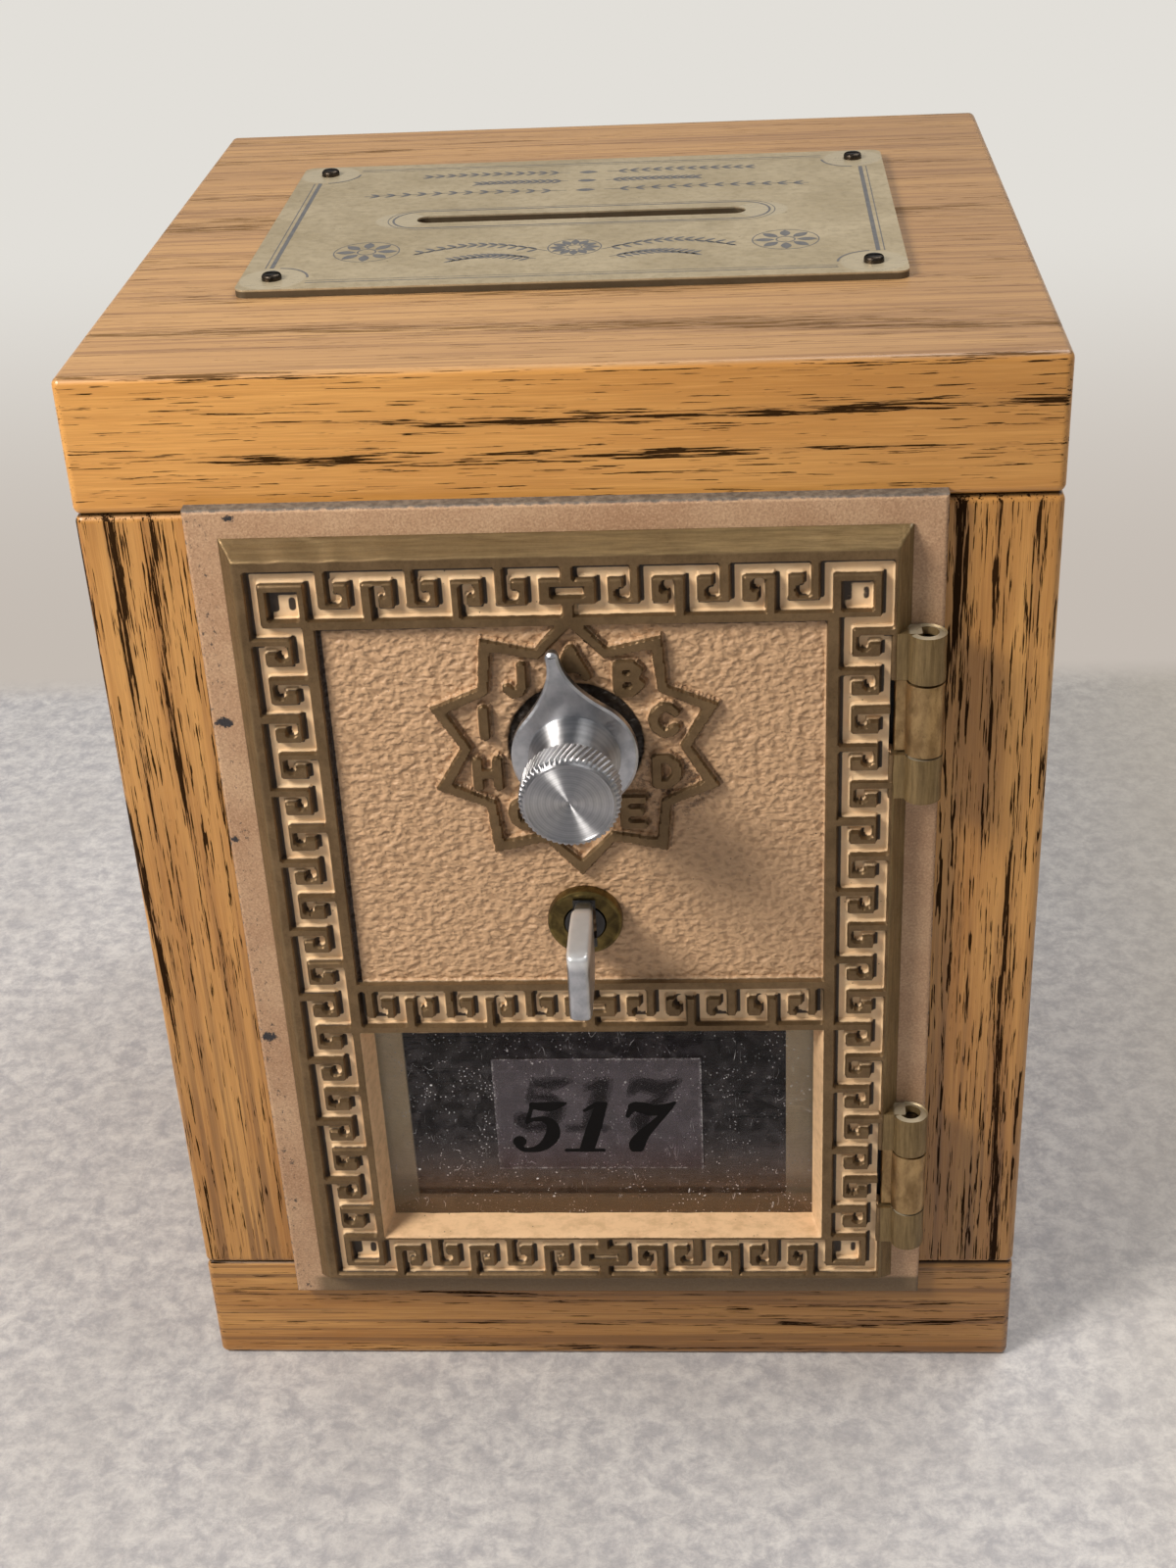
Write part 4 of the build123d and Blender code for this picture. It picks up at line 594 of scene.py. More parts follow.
def bands(rows, wide, closed=True):
    """Quads between rows of points, wide points to a row; a closed row also joins its own ends."""
    return [
        (row * wide + k, row * wide + j, (row + 1) * wide + j, (row + 1) * wide + k)
        for row in range(rows - 1)
        for k, j in [(k, (k + 1) % wide) for k in range(wide if closed else wide - 1)]
    ]


def block(rows, wide):
    """Closed bands with a face over each end."""
    last = (rows - 1) * wide
    return bands(rows, wide) + [tuple(range(wide))[::-1], tuple(range(last, last + wide))]


def lathe(profile, centre, segments, upright=False, wobble=None):
    """Points and faces turned round a line through centre. profile is (along, radius) pairs.
    An upright one turns round Z; otherwise it turns round Y, with along measured ahead of the box.
    Each end that stops short of the axis is closed with a fan of faces, listed last."""
    profile = np.asarray(profile, float)
    angles = np.linspace(0, 2 * math.pi, segments, endpoint=False)

    def place(a, b, along):
        across = (centre[0] + a, centre[1] + b)
        return (*across, along) if upright else (across[0], FRONT - along, across[1])

    verts = []
    for row, (along, radius) in enumerate(profile):
        r = np.full(segments, radius)
        if wobble is not None and radius > 0:
            r = r + wobble(row, along, angles)
        verts.append(np.stack(np.broadcast_arrays(*place(r * np.cos(angles), r * np.sin(angles), along)), 1))
    faces = bands(len(profile), segments)
    verts = np.concatenate(verts)
    if not upright:
        faces = [quad[::-1] for quad in faces]
    for row in (0, len(profile) - 1):
        along, radius = profile[row]
        if radius <= 1e-6:
            continue
        verts = np.vstack([verts, place(0.0, 0.0, along)])
        for k in range(segments):
            tri = (row * segments + (k + 1) % segments, row * segments + k, len(verts) - 1)
            faces.append(tri if (row == 0) == upright else tri[::-1])
    return verts, faces


def join(parts):
    """Several (points, faces) as one."""
    verts, faces, base = [], [], 0
    for v, f in parts:
        verts.append(np.asarray(v, float))
        faces += [tuple(i + base for i in face) for face in f]
        base += len(v)
    return np.concatenate(verts), faces


def cad_copy(node, keep):
    """Points and faces of a CAD node's triangles whose corners all pass keep(x, y, z)."""
    mesh = frame["nodes"][node].data
    co = np.array([v.co for v in mesh.vertices], float) / MM
    good = keep(co[:, 0], co[:, 1], co[:, 2])
    faces = [tuple(p.vertices) for p in mesh.polygons if all(good[i] for i in p.vertices)]
    used = sorted({i for f in faces for i in f})
    renumber = {old: new for new, old in enumerate(used)}
    return co[used], [tuple(renumber[i] for i in f) for f in faces]


def spline(p0, p1, p2, p3, t):
    """A smooth curve from p1 to p2 as t goes from 0 to 1."""
    bend, twist = 2 * p0 - 5 * p1 + 4 * p2 - p3, 3 * p1 - p0 - 3 * p2 + p3
    return 0.5 * (2 * p1 + (p2 - p0) * t + bend * t**2 + twist * t**3)


def curved(points, count=6):
    """A smooth line through points of any number of coordinates."""
    p = np.array(points, float)
    if len(p) < 3:
        return p
    p = np.vstack([2 * p[0] - p[1], p, 2 * p[-1] - p[-2]])
    places = np.linspace(0, 1, count, endpoint=False)
    return np.array([spline(*p[k : k + 4], t) for k in range(len(p) - 3) for t in places] + [p[-2]])


def smooth_field(shape, spacing, strength):
    """Smooth random relief on the cells; spacing is the size of its lumps in mm, (up, along) or one number."""
    gaps = spacing if isinstance(spacing, tuple) else (spacing, spacing)
    counts = [int(n * CELL / gap) + 4 for n, gap in zip(shape, gaps)]
    grid = rng.standard_normal(counts)
    places = [np.arange(n) * CELL / gap + 1 for n, gap in zip(shape, gaps)]

    def along(values, at):
        i = at.astype(int)
        return spline(*(values[i + k] for k in (-1, 0, 1, 2)), (at - i)[:, None])

    return strength * along(along(grid, places[0]).T, places[1]).T


def off_line(gx, gz, start, end):
    """Each point's place along a line, 0 to 1, and its distance from the line."""
    (x0, z0), (x1, z1) = start, end
    t = np.clip(((gx - x0) * (x1 - x0) + (gz - z0) * (z1 - z0)) / ((x1 - x0) ** 2 + (z1 - z0) ** 2), 0, 1)
    return t, np.hypot(gx - x0 - t * (x1 - x0), gz - z0 - t * (z1 - z0))


def depth_inside(gx, gz, sides):
    """How far inside a rectangle each point is; below zero outside it. sides is x0, x1, z0, z1."""
    x0, x1, z0, z1 = sides
    return np.minimum(np.minimum(gx - x0, x1 - gx), np.minimum(gz - z0, z1 - gz))


# ---------------------------------------------------------------- door face
# The casting's front is a height field. Its ornament is painted on a fine canvas as raised and sunk
# cells, and the walls between them are softened as a sand casting's are.
CELL = 0.05
# The mesh's lines are this close, and its points move at most this far to meet an outline
LINE_GAP, PULL_REACH = 0.2, 0.12
LEFT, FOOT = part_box("door_casting")[0].x / MM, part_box("door_casting")[0].z / MM
RIGHT, TOP = -LEFT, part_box("door_casting")[1].z / MM
# How far the mould softens the raised edges and the steps between floors
EDGE_BLUR, FLOOR_BLUR = 0.11, 0.16
# The hammering's deepest dimple, its share outside the dial's panel, and how far the whole skin is set back
DIMPLE_DEPTH, OUTSIDE_SHARE, SET_BACK = 0.18, 0.25, 0.04
# Levels ahead of the box
FACE, GROOVE_FLOOR, PANEL_FLOOR, RECESS_FLOOR, LAP = 5.0, 3.9, 4.0, 3.5, 2.1
RECESS_RADIUS = 8.15
BEVEL = 1.85
ART = (0.4, 73.9)
BORDER_HALF = (37.4, 53.7)
BAND = 6.1
KEY_GROOVE = 1.4
KEY_BODY, KEY_LEG, KEY_PITCH = 3.7, 1.1, 5.16
KEYS_EACH_HALF, KEYS_EACH_SIDE = 5, 18
# How far a key's leg runs into the metal beside the band
LEG_OVERLAP = 0.2
# The bridge in the middle of a level band: its width, the post through it, and its slot's width and height
BRIDGE_WIDTH, BRIDGE_POST, BRIDGE_SLOT = 6.6, 1.5, (3.9, 1.1)
CORNER_RING, RING_HOLE = 5.6, 3.6
# A hook's width, the radius of its end, its reach into the key, its turn to the side and its way back
HOOK_WIDTH, HOOK_END, HOOK_REACH, HOOK_CURL, HOOK_RETURN = 0.8, 0.56, 2.35, 0.78, 0.42
MIDDLE_BAND = (63.1, 68.3)
# Sides: x0, x1, z0, z1
PANEL = (-29.35, 30.15, 69.8, 120.2)
WINDOW = (-29.8, 30.2, 26.8, 61.9)
WINDOW_FLARE, WINDOW_LEDGE = 1.1, 1.0
# Height over which two surfaces round into each other
CORNER_BLEND = 0.22
HINGE = (41.7, 4.4)
HINGE_LEVELS = (107.4, 37.1)
NOTCH_LEFT, NOTCH_HALF = 37.6, 5.0
HINGE_HALF, KNUCKLE_HALF, KNUCKLE_RADIUS, KNUCKLE_WEAR, KNUCKLE_SEGMENTS = 11.0, 4.7, 2.3, 0.22, 48
PIN_RADIUS = 1.2
SLAB_ROUNDING = 0.25
LETTERS = {
    "A": [[(-0.5, -0.5), (0, 0.5), (0.5, -0.5)], [(-0.3, -0.2), (0.3, -0.2)]],
    "B": [[(-0.35, -0.5), (-0.35, 0.5), (0.12, 0.5), (0.34, 0.27), (0.12, 0.03), (-0.35, 0.03)],
          [(0.12, 0.03), (0.4, -0.22), (0.12, -0.5), (-0.35, -0.5)]],
    "C": [[(0.36, 0.3), (0.2, 0.46), (-0.05, 0.5), (-0.32, 0.3), (-0.4, 0), (-0.32, -0.3), (-0.05, -0.5),
           (0.2, -0.46), (0.36, -0.3)]],
    "D": [[(-0.35, -0.5), (-0.35, 0.5), (0.05, 0.5), (0.33, 0.28), (0.4, 0), (0.33, -0.28), (0.05, -0.5),
           (-0.35, -0.5)]],
    "E": [[(0.33, 0.5), (-0.33, 0.5), (-0.33, -0.5), (0.33, -0.5)], [(-0.33, 0.02), (0.22, 0.02)]],
    "F": [[(0.34, 0.5), (-0.32, 0.5), (-0.32, -0.5)], [(-0.32, 0.02), (0.22, 0.02)]],
    "G": [[(0.36, 0.32), (0.18, 0.48), (-0.08, 0.5), (-0.34, 0.3), (-0.42, 0), (-0.34, -0.3), (-0.08, -0.5),
           (0.2, -0.46), (0.38, -0.28), (0.38, -0.02), (0.06, -0.02)]],
    "H": [[(-0.36, -0.5), (-0.36, 0.5)], [(0.36, -0.5), (0.36, 0.5)], [(-0.36, 0), (0.36, 0)]],
    "I": [[(0, -0.5), (0, 0.5)]],
    "J": [[(0.22, 0.5), (0.22, -0.22), (0.08, -0.46), (-0.14, -0.5), (-0.32, -0.3)]],
}
# The circle they stand on, their height, width as a share of it, and stroke
LETTER_CIRCLE, LETTER_HEIGHT, LETTER_WIDTH, LETTER_STROKE = 11.3, 4.9, 0.95, 1.35
STAR = ((18.2, 13.9), (15.9, 12.4))
STAR_POINTS = 10


class Canvas:
    """A grid of cells over the door's face."""

    def __init__(self, value=0.0):
        self.x = np.arange(LEFT, RIGHT + CELL / 2, CELL)
        self.z = np.arange(FOOT, TOP + CELL / 2, CELL)
        self.cells = np.full((len(self.z), len(self.x)), value)
        self.hooks = []
        self.corners = []

    def window(self, x0, x1, z0, z1):
        """The cells between these places, as a view, with their x and z."""
        i0, i1 = (min(max(round((x - LEFT) / CELL), 0), len(self.x)) for x in (x0, x1))
        k0, k1 = (min(max(round((z - FOOT) / CELL), 0), len(self.z)) for z in (z0, z1))
        gx, gz = np.meshgrid(self.x[i0:i1], self.z[k0:k1])
        return self.cells[k0:k1, i0:i1], gx, gz

    def nearest(self, x, z):
        """The rows and columns of the cells nearest to these places."""
        column = np.clip(np.round((x - LEFT) / CELL).astype(int), 0, len(self.x) - 1)
        return np.clip(np.round((z - FOOT) / CELL).astype(int), 0, len(self.z) - 1), column

    def area(self, sides, value):
        self.window(*sides)[0][:] = value

    def rectangle(self, x, z, width, height, value):
        self.area((x - width / 2, x + width / 2, z - height / 2, z + height / 2), value)

    def disc(self, x, z, radius, value):
        view, gx, gz = self.window(x - radius, x + radius, z - radius, z + radius)
        view[np.hypot(gx - x, gz - z) <= radius] = value

    def hook(self, mouth, along, turn):
        """A groove that runs into a key from its mouth and curls over to one side; its line is kept."""
        far = [m + HOOK_REACH * a for m, a in zip(mouth, along)]
        curl = [f + HOOK_CURL * t for f, t in zip(far, turn)]
        end = [c - HOOK_RETURN * a for c, a in zip(curl, along)]
        line = [mouth, far, curl, end]
        self.stroke(line, HOOK_WIDTH, 0)
        self.disc(*end, HOOK_END, 0)
        self.hooks.append(line)

    def stroke(self, points, width, value):
        half = width / 2
        for start, end in zip(points, points[1:]):
            (x0, x1), (z0, z1) = map(sorted, zip(start, end))
            view, gx, gz = self.window(x0 - half, x1 + half, z0 - half, z1 + half)
            view[off_line(gx, gz, start, end)[1] <= half] = value

    def polygon(self, points, value):
        xs, zs = zip(*points)
        view, gx, gz = self.window(min(xs), max(xs), min(zs), max(zs))
        inside = np.zeros(gx.shape, bool)
        for (x0, z0), (x1, z1) in zip(points, points[1:] + points[:1]):
            crosses = (z0 > gz) != (z1 > gz)
            with np.errstate(divide="ignore", invalid="ignore"):
                inside ^= crosses & (gx < (x1 - x0) * (gz - z0) / (z1 - z0) + x0)
        view[inside] = value


def blur(cells, radius):
    """Gaussian blur; radius is its standard deviation in mm."""
    reach = int(3 * radius / CELL) + 1
    weights = np.exp(-0.5 * (np.arange(-reach, reach + 1) * CELL / radius) ** 2)
    weights /= weights.sum()
    for axis in (0, 1):
        pad = [(reach, reach) if a == axis else (0, 0) for a in (0, 1)]
        wide = np.pad(cells, pad, mode="edge")
        length = cells.shape[axis]
        cells = sum(w * np.take(wide, range(k, k + length), axis=axis) for k, w in enumerate(weights))
    return cells


def smoothstep(value, low, high):
    t = np.clip((value - low) / (high - low), 0, 1)
    return t * t * (3 - 2 * t)


def level_keys(canvas, z, height, outward):
    """Keys, their hooks and the bridge of one level band, both halves of it."""
    rise = (BAND - 2 * KEY_GROOVE) * height / BAND
    first = BORDER_HALF[0] - 2 * KEY_GROOVE - CORNER_RING
    reach = (rise + height) / 4
    for n in range(KEYS_EACH_HALF):
        start = -first + n * KEY_PITCH
        toward = (-1) ** n * outward
        for hand in (1, -1):
            leg = hand * (start + KEY_LEG / 2)
            leg_height = height / 2 - rise / 2 + LEG_OVERLAP
            canvas.rectangle(ART[0] + hand * (start + KEY_BODY / 2), z, KEY_BODY, rise, 1)
            canvas.rectangle(ART[0] + leg, z + toward * reach, KEY_LEG, leg_height, 1)
            stem = ART[0] + hand * (start + KEY_LEG + HOOK_WIDTH / 2)
            canvas.hook((stem, z + toward * rise / 2), (0, -toward), (hand, 0))
    canvas.rectangle(ART[0], z, BRIDGE_WIDTH, rise, 1)
    canvas.rectangle(ART[0], z, BRIDGE_POST, height, 1)
    canvas.rectangle(ART[0], z, *BRIDGE_SLOT, 0)


def upright_keys(canvas, hand):
    """Keys and their hooks of the upright band on one side."""
    rise = BAND - 2 * KEY_GROOVE
    first = BORDER_HALF[1] - 2 * KEY_GROOVE - CORNER_RING
    pitch = (2 * first - KEY_BODY) / (KEYS_EACH_SIDE - 1)
    middle = hand * (BORDER_HALF[0] - BAND / 2)
    for n in range(KEYS_EACH_SIDE):
        start = first - n * pitch
        toward = (-1) ** n * hand
        leg_z = ART[1] + start - KEY_LEG / 2
        leg_x = ART[0] + middle + toward * (rise + BAND) / 4
        canvas.rectangle(ART[0] + middle, ART[1] + start - KEY_BODY / 2, rise, KEY_BODY, 1)
        canvas.rectangle(leg_x, leg_z, BAND / 2 - rise / 2 + LEG_OVERLAP, KEY_LEG, 1)
        stem_z = ART[1] + start - KEY_LEG - HOOK_WIDTH / 2
        canvas.hook((ART[0] + middle + toward * rise / 2, stem_z), (-toward, 0), (0, -1))


def star(tip, notch):
    """A star round the dial, with its tips and notches at these radii."""
    turn = math.pi / STAR_POINTS
    angles = [math.pi / 2 + n * turn for n in range(2 * STAR_POINTS)]
    radii = (tip, notch) * STAR_POINTS
    return [polar(*DIAL, r, a) for r, a in zip(radii, angles)]


def raised_parts():
    """The canvas of what is raised on the face: border, keys, corner rings, star and letters."""
    raised = Canvas(1.0)
    half_x, half_z = BORDER_HALF
    raised.rectangle(*ART, 2 * half_x, 2 * half_z, 0)
    raised.rectangle(*ART, 2 * half_x - 2 * BAND, 2 * half_z - 2 * BAND, 1)
    raised.area((*PANEL[:2], *MIDDLE_BAND), 0)
    raised.area(PANEL, 0)
    level_keys(raised, ART[1] + half_z - BAND / 2, BAND, 1)
    level_keys(raised, ART[1] - half_z + BAND / 2, BAND, -1)
    level_keys(raised, sum(MIDDLE_BAND) / 2, MIDDLE_BAND[1] - MIDDLE_BAND[0], 1)
    for hand in (-1, 1):
        upright_keys(raised, hand)
        for foot in (-1, 1):
            x = ART[0] + hand * (half_x - KEY_GROOVE - CORNER_RING / 2)
            z = ART[1] + foot * (half_z - KEY_GROOVE - CORNER_RING / 2)
            raised.rectangle(x, z, CORNER_RING, CORNER_RING, 1)
            raised.rectangle(x, z, RING_HOLE, RING_HOLE, 0)
            raised.corners.append((x, z))
    ring = Canvas(0.0)
    ring.polygon(star(*STAR[0]), 1)
    ring.polygon(star(*STAR[1]), 0)
    panel = raised.window(*PANEL)[0]
    panel[:] = np.maximum(panel, ring.window(*PANEL)[0])
    size = LETTER_HEIGHT - LETTER_STROKE
    for n, strokes in enumerate(LETTERS.values()):
        angle = math.radians(90 - 360 / len(LETTERS) * n)
        x, z = polar(*DIAL, LETTER_CIRCLE, angle)
        for line in strokes:
            raised.stroke([(x + u * size * LETTER_WIDTH, z + v * size) for u, v in line], LETTER_STROKE, 1)
    return raised


def face_grime_and_shade(raised, in_window):
    """How much grime and painted shade lies on each cell: below and beside what is raised, and in the corner
    rings.
    Hooks are narrow, so less of it is put in them than their walls would give."""
    # Painted shade and grime lie to the right of and below what is raised, as shade falls from a lamp at the
    # upper left
    beside = np.maximum.reduce([np.roll(raised.cells, int(reach / CELL), 1) for reach in (0.2, 0.35, 0.5)])
    under = np.maximum.reduce([np.roll(raised.cells, -int(reach / CELL), 0) for reach in (0.15, 0.3, 0.4)])
    clean = Canvas(1.0)
    for line in raised.hooks:
        clean.stroke([(x + 0.1, z - 0.05) for x, z in line], 0.5, 0.15)
    shade = blur(np.maximum(beside, under) * clean.cells, 0.08) * 1.5 - 0.2
    grime_and_shade = np.clip(shade, 0, 1) * np.where(in_window > -0.3, 0, 1)
    # Painted shade at the sides and top of each corner ring's hole
    ring_hole_shade = Canvas(0.0)
    for x, z in raised.corners:
        ring_hole_shade.rectangle(x - 1.05, z, 0.8, 2.0, 1.5)
        ring_hole_shade.rectangle(x + 1.05, z - 0.1, 0.6, 1.5, 1.5)
        ring_hole_shade.rectangle(x, z + RING_HOLE / 2 - 0.35, RING_HOLE, 0.5, 1.5)
    grime_and_shade = np.maximum(grime_and_shade, np.clip(blur(ring_hole_shade.cells, 0.2), 0, 1))
    # Fainter round the dial and down the band beside the hinges
    share = Canvas(1.0)
    share.disc(*DIAL, STAR[0][0] + 1.0, 0.42)
    share.rectangle(ART[0] + BORDER_HALF[0] - BAND / 2, ART[1], BAND, 2 * BORDER_HALF[1], 0.68)
    return grime_and_shade * blur(share.cells, 0.4)


def face_heights():
    """The face's canvas, the softened outline of what is raised on it, its heights and its grime and painted
    shade.
    """
    raised = raised_parts()
    outline = blur(raised.cells, EDGE_BLUR)
    soft = smoothstep(outline, 0.2, 0.8)
    floor = Canvas(GROOVE_FLOOR)
    floor.area(PANEL, PANEL_FLOOR)
    floor.disc(*DIAL, RECESS_RADIUS, RECESS_FLOOR)
    ground = blur(floor.cells, FLOOR_BLUR)
    # Random relief: hammering in the panel, then the casting's own waves and grain, then the worn bevel
    dimples = smooth_field(ground.shape, (0.55, 0.65), 0.05)
    waves = smooth_field(ground.shape, 4.0, 0.02)
    sand = smooth_field(ground.shape, 0.35, 0.006)
    worn = smooth_field(ground.shape, 2.0, 0.05)
    share = Canvas(OUTSIDE_SHARE)
    share.area(PANEL, 1)
    ground = ground + np.clip(dimples, -DIMPLE_DEPTH, DIMPLE_DEPTH) * share.cells
    height = ground + (FACE - ground) * soft + (waves + sand * (1 - soft)) - SET_BACK
    gx, gz = np.meshgrid(raised.x, raised.z)
    edge = depth_inside(gx, gz, (LEFT, RIGHT, FOOT, TOP))
    slope = LAP + (FACE - LAP) * np.clip(edge + worn, 0, None) / BEVEL
    slope = np.where(edge < CELL, LAP, slope)
    in_window = depth_inside(gx, gz, WINDOW)
    wall = FACE - (FACE - WINDOW_LEDGE) * (in_window + worn * 0.5) / WINDOW_FLARE
    height = soft_lowest(soft_lowest(height, slope), np.maximum(wall, WINDOW_LEDGE))
    return raised, outline, height, face_grime_and_shade(raised, in_window)


def soft_lowest(a, b):
    """The lower of two surfaces, with the corner between them rounded."""
    h = np.clip(0.5 + 0.5 * (b - a) / CORNER_BLEND, 0, 1)
    return b * (1 - h) + a * h - CORNER_BLEND * h * (1 - h)


def lines(*stops):
    """Grid lines through every stop, no further apart than LINE_GAP."""
    out = [stops[0]]
    for a, b in zip(stops, stops[1:]):
        out += list(np.linspace(a, b, max(1, math.ceil((b - a) / LINE_GAP)) + 1)[1:])
    return np.array(out)


def door_face():
    """Points, faces and each point's proud mark and mark of grime and painted shade, for the whole front of
    the door.
    """
    canvas, outline, heights, grime_and_shade = face_heights()
    hole = [side + WINDOW_FLARE * way for side, way in zip(WINDOW, (1, -1, 1, -1))]
    notches = sorted(level + side * NOTCH_HALF for level in HINGE_LEVELS for side in (-1, 1))
    xs = lines(LEFT, LEFT + BEVEL, *hole[:2], NOTCH_LEFT, RIGHT)
    zs = lines(*sorted([FOOT, FOOT + BEVEL, *hole[2:], TOP - BEVEL, TOP, *notches]))
    wide = len(xs)
    gx, gz = np.meshgrid(xs, zs)
    # Points beside an outline are pulled onto it, so that slanting edges stay clean
    grid = canvas.nearest(gx, gz)
    slope_z, slope_x = (slope[grid] for slope in np.gradient(outline, CELL))
    steep = np.maximum(np.hypot(slope_x, slope_z), 0.5)
    off = (0.5 - outline[grid]) / steep
    off = np.where((np.abs(off) < PULL_REACH) & (steep > 1.0), off, 0.0)
    px, pz = gx + off * slope_x / steep, gz + off * slope_z / steep
    cell = canvas.nearest(px, pz)
    ahead = np.minimum(heights[cell], FACE)
    verts = np.stack([px, FRONT - ahead, pz], -1).reshape(-1, 3).tolist()
    cx, cz = (gx[1:, 1:] + gx[:-1, :-1]) / 2, (gz[1:, 1:] + gz[:-1, :-1]) / 2
    gone = depth_inside(cx, cz, hole) > 0
    for level in HINGE_LEVELS:
        gone |= (cx > NOTCH_LEFT) & (np.abs(cz - level) < NOTCH_HALF)
    rows, columns = np.nonzero(~gone)
    first = rows * wide + columns
    faces = np.stack([first, first + 1, first + wide + 1, first + wide], 1).tolist()
    # Walls of the notches, down to the flange
    notch_column = int(np.argmin(np.abs(xs - NOTCH_LEFT)))
    for level in HINGE_LEVELS:
        low, high = (int(np.argmin(np.abs(zs - level - side * NOTCH_HALF))) for side in (-1, 1))
        rim = [low * wide + c for c in range(wide - 1, notch_column, -1)]
        rim += [r * wide + notch_column for r in range(low, high)]
        rim += [high * wide + c for c in range(notch_column, wide)]
        base = len(verts)
        verts += [[verts[i][0], FRONT - LAP, verts[i][2]] for i in rim]
        faces += [(rim[k], rim[k + 1], base + k + 1, base + k) for k in range(len(rim) - 1)]
    proud = np.minimum(outline[cell], 1 - smoothstep(depth_inside(px, pz, WINDOW), -0.2, 0.1))
    marks = np.stack([proud.reshape(-1), grime_and_shade[cell].reshape(-1)], 1)
    return verts, faces, np.pad(marks, ((0, len(verts) - len(marks)), (0, 0)))


def between(verts, faces, values, low, high):
    """The faces whose first corner lies between two levels, with their own points and values."""
    verts, levels = np.asarray(verts, float), np.asarray([verts[f[0]][2] for f in faces])
    chosen = [f for f, level in zip(faces, levels) if low <= level < high]
    used = np.unique(np.concatenate([np.asarray(f) for f in chosen]))
    number = np.zeros(len(verts), int)
    number[used] = np.arange(len(used))
    return verts[used], [tuple(number[list(f)]) for f in chosen], values[used]


def knuckle(low, high):
    """A hinge knuckle round the hinge's line, its rims worn round; its pin's hole shows at the ends."""
    rims = []
    for end, way in ((low, 1), (high, -1)):
        rim = [(end + 0.9 * way, PIN_RADIUS), (end, PIN_RADIUS + 0.15)]
        for a in np.linspace(0, math.pi / 2, 5):
            worn = KNUCKLE_WEAR * (1 - math.sin(a))
            rim.append((end + way * worn, KNUCKLE_RADIUS - worn * 0.9 - 0.02))
        rims.append(rim)
    profile = [*rims[0], *((z, KNUCKLE_RADIUS) for z in np.linspace(low + 1, high - 1, 6)), *rims[1][::-1]]
    phase = rng.uniform(0, 6.28, 3)

    def wobble(row, along, angles):
        lump = 0.05 * np.sin(2 * angles + phase[0]) + 0.035 * np.sin(3 * angles + phase[1] + along)
        return np.where(profile[row][1] > PIN_RADIUS + 0.3, lump - 0.07, 0.0)

    verts, faces = lathe(profile, (HINGE[0], FRONT - HINGE[1]), KNUCKLE_SEGMENTS, True, wobble)
    return verts, faces[: -2 * KNUCKLE_SEGMENTS]


def slab(x0, x1, back, front, z0, z1):
    """A block with its front edges along Z rounded."""
    left, right = [], []
    for a in np.linspace(0, math.pi / 2, 4):
        near, far = SLAB_ROUNDING * (1 - math.cos(a)), SLAB_ROUNDING * (1 - math.sin(a))
        left.append((x0 + near, front - far))
        right.append((x1 - far, front - near))
    outline = [(x0, back), *left, *right, (x1, back)]
    verts = [(x, FRONT - ahead, z) for z in (z0, z1) for x, ahead in outline]
    return verts, block(2, len(outline))


# Webs join the door's casting to its knuckles and stop a little short of the hinge's line
WEB_FRONT, WEB_BACK = 4.9, 2.3
WEB_GAP = 0.6
face_verts, face_faces, face_marks = door_face()
# The face is three pieces, so that none has too many triangles
DOOR_FACES = (("door_face_top", 91.0, 140.0), ("door_face_middle", 52.0, 91.0), ("door_face_foot", 0.0, 52.0))
for name, low, high in DOOR_FACES:
    verts, faces, marks = between(face_verts, face_faces, face_marks, low, high)
    band = make(name, verts, faces, "door", casting_metal, "cast_brass", sharp=50)
    for column, mark in enumerate(("proud", "grime_and_shade")):
        band.data.attributes.new(mark, "FLOAT", "POINT").data.foreach_set("value", marks[:, column].copy())
door_parts = [cad_copy("door_casting", lambda x, y, z: (FRONT - y < LAP + 0.05) & (x < RIGHT + 0.01))]
for level in HINGE_LEVELS:
    for low, high in ((level - HINGE_HALF, level - NOTCH_HALF), (level + NOTCH_HALF, level + HINGE_HALF)):
        door_parts.append(knuckle(low, high))
        door_parts.append(slab(NOTCH_LEFT, HINGE[0] - WEB_GAP, WEB_BACK, WEB_FRONT, low + 0.02, high - 0.02))
back = join(door_parts)
door_back = make("door_back", *back, "door", casting_metal, "cast_brass", ["door_casting"], sharp=50)
bare_marks = door_back.data.attributes.new("proud", "FLOAT", "POINT").data
bare_marks.foreach_set("value", np.ones(len(bare_marks)))

# ---------------------------------------------------------------- door frame
FLANGE, WEB_FOOT, FRAME_WEB_FRONT = 2.0, 1.6, 4.3
knuckle_webs = []
for level in HINGE_LEVELS:
    low, high = level - KNUCKLE_HALF, level + KNUCKLE_HALF
    under_pin = (HINGE[0] - KNUCKLE_RADIUS + 0.1, HINGE[0] + KNUCKLE_RADIUS - 0.08)
    knuckle_webs.append(knuckle(low, high))
    beside_pin = (NOTCH_LEFT + WEB_GAP, HINGE[0] - WEB_GAP)
    knuckle_webs.append(slab(*beside_pin, WEB_FOOT, FRAME_WEB_FRONT, low + 0.03, high - 0.03))
    knuckle_webs.append(slab(*under_pin, WEB_FOOT, HINGE[1], low + 0.03, high - 0.03))
frame_body = cad_copy("door_frame", lambda x, y, z: FRONT - y < FLANGE + 0.05)
make("frame_casting", *frame_body, "box", frame_paint, "painted_frame", ["door_frame"], sharp=30)
make("frame_knuckles", *join(knuckle_webs), "box", knuckle_brass, "painted_frame", sharp=50)

# ---------------------------------------------------------------- dial knob and pointer
KNOB_BACK = 7.2
KNURL_RIDGES = 52


